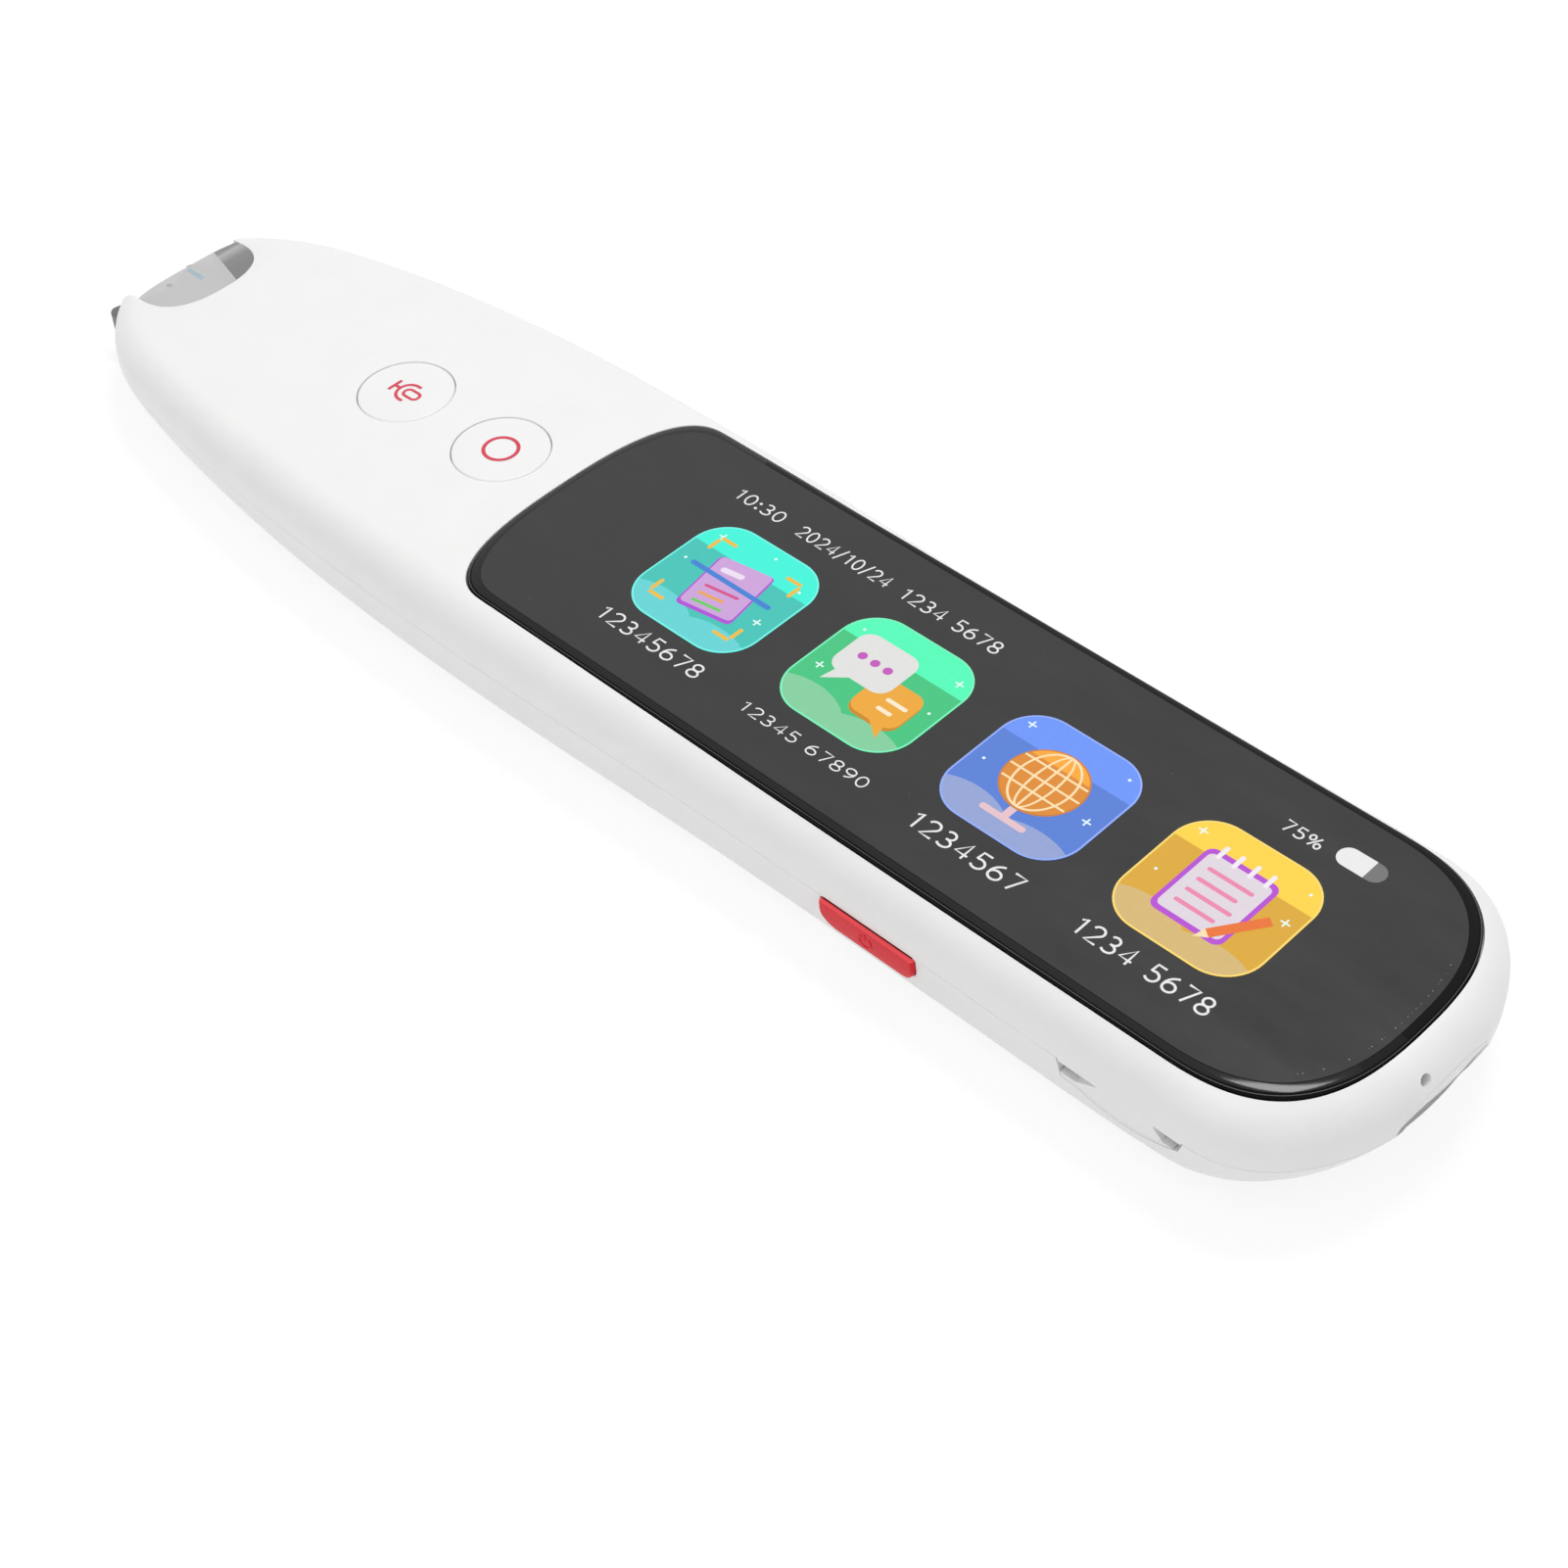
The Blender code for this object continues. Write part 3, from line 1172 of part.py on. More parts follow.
def make_usb():
    front = usb_front()
    outer = usb_outline(USB_WIDTH, USB_HEIGHT)
    inner = usb_outline(USB_WIDTH - 2 * USB_WALL, USB_HEIGHT - 2 * USB_WALL)
    rear, seat = front - USB_LENGTH, front - USB_LENGTH + USB_WALL
    finish(end_skin(((outer, rear), (outer, front), (inner, front), (inner, seat))), "usb_shell", steel())
    half, rise = TONGUE_WIDTH / 2, TONGUE_HEIGHT / 2
    outline = box_outline(-half, PARTING_HEIGHT - rise, half, PARTING_HEIGHT + rise)
    tongue = end_skin(((outline, seat + SEAT_GAP), (outline, seat + SEAT_GAP + TONGUE_LENGTH)))
    add_bevel(finish(tongue, "usb_tongue", black_plastic()), COMPONENT_BEVEL, 1)
    span, levels = usb_board_spans()
    plate("usb_board", span, USB_BOARD_WIDTH, levels, BOARD_CORNER, board_green())


def make_microphone():
    low = PARTING_HEIGHT + USB_HEIGHT / 2 + AIR
    right = BUTT_X - MICROPHONE_SETBACK
    half = MICROPHONE_WIDTH / 2
    made = box(right - MICROPHONE_THICKNESS, right, -MICROPHONE_OFFSET - half, -MICROPHONE_OFFSET + half,
               low, low + MICROPHONE_DEPTH)
    add_bevel(finish(made, "microphone", steel()), COMPONENT_BEVEL / 2, 1)


def main():
    clear_scene()
    make_top_shell()
    make_bottom_shell()
    make_glass()
    make_adhesive()
    make_display()
    make_keys()
    make_power_key()
    make_window()
    make_nib()
    make_duct()
    make_camera()
    make_board()
    make_board_screws()
    make_components()
    make_battery()
    make_speaker()
    make_usb()
    make_microphone()


main()
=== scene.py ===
"""Looks of the translation pen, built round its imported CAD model.

Metres, in the CAD's own frame: +X runs from the reading tip to the blunt end, +Z is up.
Outer pieces are made again with fine facets from the same body functions, the inner ones keep
their CAD nodes and get materials, and the screen's picture is thin sheets on the glass.
"""

from math import cos, hypot, pi, radians, sin, tau

import bmesh
import bpy
from mathutils import Matrix, Vector
from mathutils.bvhtree import BVHTree


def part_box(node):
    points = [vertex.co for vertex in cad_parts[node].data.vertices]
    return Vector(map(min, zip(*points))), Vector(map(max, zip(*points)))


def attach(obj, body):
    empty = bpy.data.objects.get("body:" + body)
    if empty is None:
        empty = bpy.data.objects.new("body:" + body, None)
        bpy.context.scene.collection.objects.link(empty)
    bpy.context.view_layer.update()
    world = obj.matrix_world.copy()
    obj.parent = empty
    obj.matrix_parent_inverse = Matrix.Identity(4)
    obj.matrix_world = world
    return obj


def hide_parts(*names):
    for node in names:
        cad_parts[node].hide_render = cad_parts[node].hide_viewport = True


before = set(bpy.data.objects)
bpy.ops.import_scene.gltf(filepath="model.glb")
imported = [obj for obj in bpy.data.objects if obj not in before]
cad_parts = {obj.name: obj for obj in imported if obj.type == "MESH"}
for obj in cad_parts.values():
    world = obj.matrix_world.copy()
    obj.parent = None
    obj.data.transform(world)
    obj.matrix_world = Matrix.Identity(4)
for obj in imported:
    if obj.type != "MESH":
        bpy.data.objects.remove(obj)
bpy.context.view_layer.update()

MM = 0.001

# Body form, as in the CAD, but with a slightly fuller waist
BODY_LENGTH = 149.2 * MM
BODY_WIDTH = 33.2 * MM
BODY_HEIGHT = 11.8 * MM
WIDEST_HEIGHT = BODY_HEIGHT - 4.22 * MM
PARTING_HEIGHT = BODY_HEIGHT - 5.2 * MM
HALF_WIDTH_SHARES = ((0.015, 0.598), (0.133, 0.833), (0.265, 0.962), (0.423, 0.999),
                     (0.634, 0.958), (0.924, 0.964))
TIP_ROUND = (13.68 * MM, 2.57)
BUTT_ROUND = (10.9 * MM, 2.1)
TIP_SLOPE_LENGTH = 54.8 * MM
TIP_DROP = 2.7 * MM
PARTING_DROP_SHARE = 0.75
TIP_UNDERSIDE_RISE = PARTING_HEIGHT - PARTING_DROP_SHARE * TIP_DROP - 1.13 * MM
BUTT_SLOPE_LENGTH = 22.3 * MM
BUTT_UNDERSIDE_RISE = PARTING_HEIGHT - 3.55 * MM
TOP_ROUND = 2.82 * MM
UNDER_ROUNDS = (4.8 * MM, 3.87 * MM, 8.72 * MM)
UNDER_ROUND_POWER = 2.3
TOP_WALL = 1.6 * MM
SIDE_WALL = 1.45 * MM
FLOOR_WALL = 1.3 * MM
PARTING_GAP = 0.03 * MM
LIP_HEIGHT = 0.9 * MM
FIT = 0.1 * MM
OVERRUN = 2 * MM
NIB_REACH = 1.3 * MM
BUTT_X = (BODY_LENGTH + NIB_REACH) / 2
TIP_X = BUTT_X - BODY_LENGTH
LIP_INSET = SIDE_WALL + FIT
INNER_INSET = LIP_INSET + 0.7 * MM
SOFT_EDGE = 0.05 * MM
SEAM_EDGE = 0.02 * MM
GROOVE_RADIUS = 0.06 * MM

# Screen
GLASS_TOP_Z = BODY_HEIGHT + 0.25 * MM
GLASS_BOTTOM_Z = GLASS_TOP_Z - 0.95 * MM
SEAT_Z = GLASS_BOTTOM_Z - 0.25 * MM
GLASS_TIP_X = TIP_X + 57.6 * MM
GLASS_BUTT_X = BUTT_X - 2.7 * MM
GLASS_WIDTH = BODY_WIDTH - 5.1 * MM
GLASS_ROUND = 1.5 * MM
GLASS_EDGE_Z = GLASS_BOTTOM_Z + 0.6 * MM
GLASS_TIP_ROUND = (6 * MM, 2.65)
GLASS_BUTT_ROUND = (12 * MM, 2.6)
# Degrees round the glass's edge: its grey line of painted reflection, all its rings and where its
# border starts
REFLECTION_LINE = (20, 23.5)
GLASS_ANGLES = (0, 12, *REFLECTION_LINE, 34, 48, 62, 76, 90)
BORDER_ANGLE = 34
# Where, in millimetres, the border grows darker with painted shade
DEEP_SHADE_FROM = (-5, -2)
MID_SHADE_FROM = (60, -6)
ADHESIVE_WIDTH = 1.2 * MM
SCREEN_OPENING_LOW = 7 * MM
FILM_INSET = 0.85 * MM
SHEET_STEP = 0.011 * MM

# Keys
KEY_X = {"voice": TIP_X + 37.5 * MM, "home": TIP_X + 50.1 * MM}
KEY_RADIUS = 4.35 * MM
KEY_EDGE_ROUND = 0.2 * MM
KEY_GAP = 0.07 * MM
KEY_HOLE_DEPTH = 3.5 * MM
KEY_FLANGE_RADIUS = 5.2 * MM
KEY_FLANGE_THICKNESS = 0.65 * MM
MARK_LIFT = 0.015 * MM
POWER_X = BUTT_X - 41.3 * MM
POWER_HALF_LENGTH = 4.8 * MM
POWER_HEIGHT = 2.55 * MM
POWER_PROUD = 0.4 * MM
POWER_ROUND = 0.36 * MM
POWER_RADII = (1.7 * MM, 1.3 * MM, 0.25 * MM, 0.25 * MM)
# How far up its faces look where the power key's painted highlight (a brighter red on its upward
# faces) and its painted gap shade (a dark red on its flat top side) start
HIGHLIGHT_FACING = 0.3
GAP_SHADE_FACING = 0.995
FLANGE_START = 0.5 * MM
FLANGE_THICKNESS = 0.6 * MM
SIGN_DROP = 1.55
SIGN_DEPTH = 0.05 * MM

# Strap hole
STRAP_X = BUTT_X - 16.9 * MM
STRAP_SPAN = 11.4 * MM
STRAP_DROP = 2.9 * MM
STRAP_SHARES = ((0.0, 0.0), (0.03, 0.64), (0.18, 0.72), (0.33, 0.93), (0.5, 1.0), (0.68, 0.92),
                (0.84, 0.66), (0.965, 0.42), (1.0, 0.0))
STRAP_DEPTHS = (2.1 * MM, 1.7 * MM, 1.1 * MM)
STRAP_SLOT_TOP = PARTING_HEIGHT - 0.3 * MM
STRAP_SLOT_HEIGHT = 1.1 * MM
STRAP_SLOT_LENGTHS = (3.7 * MM, 2.6 * MM)
STRAP_MOUTH = 1.7 * MM
LOBE_GAP = 0.09 * MM
LOBE_LINE_RISE = 0.3 * MM

# Port, microphone and speaker
PORT_SIZE = (8.94 * MM, 3.16 * MM)
PASSAGE_SIZE = (9.14 * MM, 3.36 * MM)
PASSAGE_LENGTH = 7.3 * MM
RECESS_MM = (11.4, 3.5)
RECESS_FLOOR_X = BUTT_X - 1.6 * MM
RECESS_DEPTH = 1.2 * MM
PORT_LINE_MM = (5.5, 2.4)
MICROPHONE_Y = -2.55 * MM
MICROPHONE_DROP = 1.7 * MM
MICROPHONE_RADIUS = 0.5 * MM
MICROPHONE_DEPTH = 2.6 * MM
SPEAKER_X = BUTT_X - 31.2 * MM + (2.2 + 6) * MM
SPEAKER_SLOTS = 5
SPEAKER_PITCH = 1.7 * MM
SPEAKER_SLOT = (0.4 * MM, 4.5 * MM, 0.399 * MM)

# Tip
WINDOW_REAR_X = TIP_X + 10.9 * MM
WINDOW_FLARE_X = TIP_X + 5 * MM
WINDOW_FLARE = 1.8
WINDOW_WIDTH = 11.7 * MM
WINDOW_ARCH = (4.8 * MM, 2.5)
WINDOW_LEAN = 0.35
WINDOW_FRONT_X = TIP_X + 5.8 * MM
WINDOW_SAG = 0.5 * MM
WINDOW_RECESS = 0.08 * MM
WINDOW_LIP = 0.16 * MM
WINDOW_SHADE_LINE = ((-76 * MM, 5.5 * MM), (-63 * MM, 1.65 * MM))
WINDOW_THICKNESS = 1.2 * MM
NIB_FRONT_X = TIP_X - NIB_REACH
NIB_LENGTH = 4.5 * MM
NIB_HEIGHT = 2.25 * MM
NIB_BELOW_PARTING = 2.1 * MM
NIB_HALF_WIDTH = 5.7 * MM
NIB_RADII = (0.8 * MM, 0.0, 0.0, 1.9 * MM)
SCOOP_DEPTH = 1.4 * MM
SCOOP_HALF_WIDTH = 3.9 * MM
NIB_EDGE = 0.22 * MM
NIB_TRAVEL = 0.6 * MM
ARM_SIZE = (8.2 * MM, 1.2 * MM, 0.7 * MM)
ARM_RISE = 0.3 * MM
ARM_CHANNEL = 4.5 * MM

# Camera, solved from the photograph: azimuth, elevation and roll in degrees, place and lens in
# millimetres
CAMERA_ANGLES = (46.909, 45.563, -3.771)
CAMERA_PLACE = (137.97, -120.67, 172.92)
CAMERA_LENS = 68.11
FLOOR_Z = -0.02 * MM
FLOOR_HALF = 3.0

# Facets
TIP_STEPS = 40
SIDE_STEPS = 44
BUTT_STEPS = 44
ROUND_STEPS = 96
LEVEL_STEPS = 9
ARCH_STEPS = 28
FRONT_STEPS = 24
LINE_STEPS = 56
SMOOTH_ANGLE = 0.55
KEY_SMOOTH_ANGLE = 0.7
TOP_SHARES = [sin(pi / 2 * (1 - i / LEVEL_STEPS)) for i in range(LEVEL_STEPS)] + [0.0]
UNDER_SHARES = [0.2 + (1 - 0.2) * sin(pi / 2 * (i + 1) / LEVEL_STEPS) for i in range(LEVEL_STEPS)]


# Materials

def new_material(name):
    made = bpy.data.materials.new(name)
    made.use_nodes = True
    return made, made.node_tree, made.node_tree.nodes["Principled BSDF"]


def fill(tree, node, inputs):
    """Set a node's inputs, each to a value or to a socket that it links from."""
    for name, value in inputs.items():
        if isinstance(value, bpy.types.NodeSocket):
            tree.links.new(value, node.inputs[name])
        else:
            node.inputs[name].default_value = value


def add_node(tree, kind, inputs, **settings):
    made = tree.nodes.new("ShaderNode" + kind)
    for name, value in settings.items():
        setattr(made, name, value)
    fill(tree, made, inputs)
    return made


def place(tree):
    return add_node(tree, "TexCoord", {}).outputs["Object"]


def noise(tree, scale, detail=3.0, stretch=None):
    """Noise at a scale in cells per metre, stretched along an axis where that is given."""
    source = place(tree)
    if stretch:
        source = add_node(tree, "Mapping", {"Vector": source, "Scale": stretch}).outputs["Vector"]
    inputs = {"Scale": scale, "Detail": detail, "Vector": source}
    return add_node(tree, "TexNoise", inputs).outputs["Fac"]


def ramp(tree, source, stops):
    """A colour ramp; each stop is a place and a colour."""
    made = add_node(tree, "ValToRGB", {"Fac": source})
    points = made.color_ramp.elements
    while len(points) < len(stops):
        points.new(0.5)
    for point, (position, colour) in zip(points, stops):
        point.position = position
        point.color = (*colour, 1.0)
    return made.outputs["Color"]


def two_tones(tree, source, colour, low, high):
    """A colour times one factor where the source is low, and times another where it is high."""
    return ramp(tree, source, [(at, tuple(min(part * factor, 1.0) for part in colour))
                               for at, factor in ((0.3, low), (0.7, high))])


def spread(tree, source, low, high, start=0.25, end=0.75):
    inputs = {"Value": source, "From Min": start, "From Max": end, "To Min": low, "To Max": high}
    return add_node(tree, "MapRange", inputs).outputs["Result"]


def bumped(tree, source, depth):
    inputs = {"Strength": 0.5, "Distance": depth, "Height": source}
    return add_node(tree, "Bump", inputs).outputs["Normal"]


def paint(name, colour, rough, metallic=0.0, level=0.5, grain=3000.0, shade=0.03, bump=0.004,
          stretch=None, alpha=1.0, coat=0.0):
    """A moulded or metal surface: its colour, roughness and height all vary with noise."""
    made, tree, shader = new_material(name)
    slow = noise(tree, grain / 24, 2.0, stretch)
    fine = noise(tree, grain, 4.0, stretch)
    fill(tree, shader, {"Base Color": two_tones(tree, slow, colour, 1 - shade, 1 + shade),
                        "Roughness": spread(tree, fine, rough * 0.88, rough * 1.12),
                        "Normal": bumped(tree, fine, bump * MM), "Metallic": metallic,
                        "Specular IOR Level": level, "Alpha": alpha, "Coat Weight": coat})
    made.diffuse_color = (*colour, 1.0)
    return made


def red(name, colour, rough, **more):
    return paint(name, colour, rough, grain=2400.0, shade=0.04, **more)


def black_glass(name, value, level):
    return paint(name, (value,) * 3, 0.1, level=level, grain=700.0, shade=0.15, bump=0.0002)


def film_paint():
    """Dark screen film with faint smears and a few specks of dust."""
    made, tree, shader = new_material("screen_film")
    smear = noise(tree, 140.0, 5.0, (1.0, 2.6, 1.0))
    base = two_tones(tree, smear, (0.017, 0.017, 0.0175), 0.93, 1.08)
    cells = add_node(tree, "TexVoronoi", {"Scale": 330.0, "Vector": place(tree)})
    dust = ramp(tree, cells.outputs["Distance"], ((0.0, (0.16,) * 3), (0.022, (0.0,) * 3)))
    both = add_node(tree, "Mix", {"Factor": 1.0, "A": base, "B": dust},
                    data_type="RGBA", blend_type="ADD")
    fill(tree, shader, {"Base Color": both.outputs["Result"], "Specular IOR Level": 0.42,
                        "Roughness": spread(tree, smear, 0.176, 0.286)})
    return made


def lit_paint(name, colour):
    """A colour that the display shows, with its fine row structure."""
    made, tree, shader = new_material(name)
    rows = noise(tree, 5200.0, 1.0, (1.0, 0.2, 1.0))
    fill(tree, shader, {"Emission Color": two_tones(tree, rows, colour, 0.985, 1.012),
                        "Emission Strength": 1.0, "Base Color": (0.0, 0.0, 0.0, 1.0),
                        "Roughness": 0.12, "Specular IOR Level": 0.2})
    made.diffuse_color = (*colour, 1.0)
    return made


def shade_and_highlight_paint():
    """The far side of the window: darker, with a painted highlight as a soft lighter streak across
    it.
    """
    made, tree, shader = new_material("smoke_shaded_painted_highlight")
    parts = add_node(tree, "SeparateXYZ", {"Vector": place(tree)})
    along = spread(tree, parts.outputs["X"], 0.0, 1.0,
                   WINDOW_FRONT_X - 1.2 * MM, WINDOW_FRONT_X + 3.2 * MM)
    # Greys along the window, darkest towards the rear, with a lighter painted highlight streak.
    shade_and_highlight_greys = ((0.0, 0.3), (0.24, 0.25), (0.36, 0.46), (0.5, 0.36), (0.66, 0.24), (1.0, 0.21))
    fine = noise(tree, 2600.0)
    fill(tree, shader, {"Base Color": ramp(tree, along, [(at, (grey,) * 3) for at, grey in shade_and_highlight_greys]),
                        "Roughness": spread(tree, fine, 0.13, 0.19),
                        "Normal": bumped(tree, fine, 0.0006 * MM), "Alpha": 0.9})
    return made


def board_paint():
    """Green solder mask with paler tracks under it."""
    made, tree, shader = new_material("board_green_fine")
    tracks = add_node(tree, "TexBrick", {
        "Vector": place(tree), "Scale": 260.0, "Mortar Size": 0.05, "Color1": (0.02, 0.15, 0.07, 1),
        "Color2": (0.016, 0.13, 0.06, 1), "Mortar": (0.05, 0.26, 0.11, 1)})
    fill(tree, shader, {"Base Color": tracks.outputs["Color"],
                        "Roughness": spread(tree, noise(tree, 1800.0), 0.3, 0.42),
                        "Normal": bumped(tree, tracks.outputs["Fac"], 0.01 * MM)})
    return made


WHITE = paint("white_gloss", (0.875, 0.87, 0.868), 0.34, level=0.4, grain=5200.0, shade=0.01,
              bump=0.0012)
RED = red("red_gloss", (0.72, 0.024, 0.036), 0.28, level=0.08, bump=0.0005)
# A brighter copy of the red for the power key's upward faces: a painted highlight.
RED_PAINTED_HIGHLIGHT = red("red_gloss_painted_highlight", (1.0, 0.075, 0.09), 0.28, level=0.3, bump=0.0005)
# A dark copy of the red for the power key's top side in the gap under the shell: painted shade.
RED_PAINTED_GAP_SHADE = red("red_gloss_painted_gap_shade", (0.16, 0.01, 0.012), 0.4, level=0.1)
MARK = paint("mark_red", (0.66, 0.04, 0.08), 0.5, grain=9000.0, shade=0.05, bump=0.002)
SMOKE = paint("smoke_clear", (0.61, 0.61, 0.61), 0.16, grain=2600.0, bump=0.0006, alpha=0.82)
SHADED_SMOKE_AND_HIGHLIGHT = shade_and_highlight_paint()
AIM_LINE = paint("aim_line", (0.42, 0.62, 0.74), 0.3, grain=2600.0, shade=0.04, alpha=0.5)
NIB_SMOKE = paint("smoke_dark", (0.15, 0.145, 0.14), 0.2, grain=2600.0, shade=0.06, bump=0.001,
                  alpha=0.93)
BLACK = paint("black_moulded", (0.02, 0.02, 0.022), 0.5, grain=6000.0, shade=0.15, bump=0.003)
GREY = paint("grey_moulded", (0.42, 0.42, 0.43), 0.45, grain=6000.0, shade=0.05, bump=0.002)
STEEL = paint("steel_brushed", (0.60, 0.60, 0.61), 0.3, metallic=1.0, grain=9000.0, shade=0.08,
              bump=0.002, stretch=(0.08, 1.0, 1.0))
FOIL = paint("foil_wrapped", (0.55, 0.56, 0.58), 0.38, metallic=0.7, grain=900.0, shade=0.08,
             bump=0.02)
FOAM = paint("foam_cells", (0.045, 0.045, 0.05), 0.9, grain=7000.0, shade=0.3, bump=0.03)
LENS = paint("lens_coated", (0.012, 0.01, 0.02), 0.06, level=0.8, grain=900.0, shade=0.2,
             bump=0.0002, coat=0.6)
PANEL = paint("panel_glass", (0.012, 0.012, 0.014), 0.08, grain=900.0, shade=0.2, bump=0.0004)
RIM = black_glass("glass_black", 0.003, 0.07)
# A grey line round the glass's edge: a painted reflection.
GLASS_PAINTED_REFLECTION = paint("glass_edge_painted_reflection", (0.12,) * 3, 0.3, level=0.2, grain=700.0, shade=0.15)
BORDER = black_glass("glass_border", 0.011, 0.2)
# Darker copies of the border: painted shade.
BORDER_PAINTED_SHADE_MID = black_glass("glass_border_painted_shade_mid", 0.0075, 0.155)
BORDER_PAINTED_SHADE_DARK = black_glass("glass_border_painted_shade_dark", 0.004, 0.11)
FILM = film_paint()
BOARD = board_paint()


# Solids

def add_thing(name, data):
    thing = bpy.data.objects.new(name, data)
    bpy.context.scene.collection.objects.link(thing)
    return thing


def as_piece(made, name, paints, body):
    mesh = bpy.data.meshes.new(name)
    made.to_mesh(mesh)
    made.free()
    for paint_used in paints:
        mesh.materials.append(paint_used)
    thing = add_thing(name, mesh)
    if body:
        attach(thing, body)
    return thing


def smooth(mesh, sharp):
    mesh.shade_smooth()
    mesh.set_sharp_from_angle(angle=sharp)


def finish(made, name, paint_used, body="housing", sharp=SMOOTH_ANGLE):
    bmesh.ops.recalc_face_normals(made, faces=made.faces)
    thing = as_piece(made, name, [paint_used], body)
    smooth(thing.data, sharp)
    return thing


def merge(thing, made, operation, sharp=SMOOTH_ANGLE):
    """Boolean a shape into a piece."""
    other = finish(made, "tool", thing.data.materials[0], body=None)
    modifier = thing.modifiers.new("join", "BOOLEAN")
    modifier.operation = operation
    modifier.solver = "EXACT"
    modifier.object = other
    bpy.context.view_layer.update()
    graph = bpy.context.evaluated_depsgraph_get()
    mesh = bpy.data.meshes.new_from_object(thing.evaluated_get(graph))
    thing.modifiers.clear()
    old = thing.data
    thing.data = mesh
    bpy.data.meshes.remove(old)
    bpy.data.objects.remove(other, do_unlink=True)
    smooth(mesh, sharp)


def carve(thing, *shapes):
    for shape in shapes:
        merge(thing, shape, "DIFFERENCE")


def form_of(helper):
    """The form of a helper object, which goes."""
    made = bmesh.new()
    made.from_mesh(helper.data)
    bpy.data.objects.remove(helper, do_unlink=True)
    return made


def rungs(made, row):
    """Fill a ring that mirrors in y with faces straight across."""
    count = len(row)
    for i in range(count // 2):
        corners = (row[i], row[i + 1], row[count - i - 1], row[(count - i) % count])
        made.faces.new(tuple(dict.fromkeys(corners)))


def skin(rings, mirrored=False):
    """A closed form through rings, its ends filled by one face or by rungs."""
    made = bmesh.new()
    rows = [[made.verts.new(point) for point in ring] for ring in rings]
    count = len(rows[0])
    for upper, lower in zip(rows, rows[1:]):
        for i in range(count):
            j = (i + 1) % count
            made.faces.new((upper[i], upper[j], lower[j], lower[i]))
    for row in (rows[0], rows[-1]):
        if mirrored:
            rungs(made, row)
        else:
            made.faces.new(row)
    return made


def level_ring(outline, z):
    return [Vector((x, y, z)) for x, y in outline]


def prism(outline, low, high):
    return skin([level_ring(outline, z) for z in (low, high)])


def side_ring(outline, y):
    return [Vector((x, y, z)) for x, z in outline]


def side_prism(outline, near, far):
    return skin([side_ring(outline, y) for y in (near, far)])


def round_ring(centre, side, up, radius, steps):
    return [centre + (side * cos(tau * i / steps) + up * sin(tau * i / steps)) * radius
            for i in range(steps)]


def rounded_outline(left, bottom, right, top, radii, steps=16):
    lower_left, lower_right, upper_right, upper_left = radii
    corners = ((left + lower_left, bottom + lower_left, lower_left, 2),
               (right - lower_right, bottom + lower_right, lower_right, 3),
               (right - upper_right, top - upper_right, upper_right, 0),
               (left + upper_left, top - upper_left, upper_left, 1))
    points = []
    for x, y, radius, quarter in corners:
        for i in range((steps if radius else 0) + 1):
            angle = (quarter + i / steps) * pi / 2
            points.append((x + radius * cos(angle), y + radius * sin(angle)))
    return points


def rect(left, low, right, high, corner=0.0, steps=6):
    return rounded_outline(left, low, right, high, [corner] * 4, steps)


# Body form

def eased(value):
    return min(max(value, 0.0), 1.0) ** 2


def tip_slope(x):
    return eased((TIP_X + TIP_SLOPE_LENGTH - x) / TIP_SLOPE_LENGTH)


def top_height(x):
    return BODY_HEIGHT - TIP_DROP * tip_slope(x)


def widest_height(x):
    return WIDEST_HEIGHT - TIP_DROP * tip_slope(x)


def parting_height(x):
    return PARTING_HEIGHT - TIP_DROP * PARTING_DROP_SHARE * tip_slope(x)


def underside_height(x):
    butt_slope = eased((x - BUTT_X + BUTT_SLOPE_LENGTH) / BUTT_SLOPE_LENGTH)
    return TIP_UNDERSIDE_RISE * tip_slope(x) + BUTT_UNDERSIDE_RISE * butt_slope


def half_width(x):
    """A smooth curve through the given half widths, straight beyond the first and last."""
    points = [(TIP_X + BODY_LENGTH * along, BODY_WIDTH / 2 * wide)
              for along, wide in HALF_WIDTH_SHARES]
    knots = [(*point, (after[1] - before[1]) / (after[0] - before[0])) for point, before, after
             in zip(points, points[:1] + points, points[1:] + points[-1:])]
    if not knots[0][0] < x < knots[-1][0]:
        at, wide, slope = knots[0 if x <= knots[0][0] else -1]
        return wide + slope * (x - at)
    (a, wide_a, slope_a), (b, wide_b, slope_b) = next(
        pair for pair in zip(knots, knots[1:]) if x < pair[1][0])
    t = (x - a) / (b - a)
    return ((1 + 2 * t) * (1 - t) ** 2 * wide_a + t * t * (3 - 2 * t) * wide_b
            + t * (1 - t) ** 2 * (b - a) * slope_a - t * t * (1 - t) * (b - a) * slope_b)


def end_round(end, start, width_at, power, steps):
    """Points (x, half width) from an end of an outline to where its round starts."""
    points = []
    for i in range(steps + 1):
        angle = pi / 2 * (1 - i / steps)
        x = end + (start - end) * (1 - sin(angle) ** (2 / power))
        points.append((x, width_at(x) * max(cos(angle), 0.0) ** (2 / power)))
    return points


def bullet_loop(tip, butt, width_at, tip_round, butt_round):
    """A long outline with a round at each end, along its near side and back along its far one."""
    start, end = tip + tip_round[0], butt - butt_round[0]
    side = end_round(tip, start, width_at, tip_round[1], TIP_STEPS)
    for i in range(1, SIDE_STEPS):
        x = start + (end - start) * i / SIDE_STEPS
        side.append((x, width_at(x)))
    side += end_round(butt, end, width_at, butt_round[1], BUTT_STEPS)[::-1]
    near = [(x, -y) for x, y in side[:-1]]
    far = [(x, y) for x, y in reversed(side[1:])]
    near[0] = (near[0][0], 0.0)
    far[0] = (far[0][0], 0.0)
    return near + far


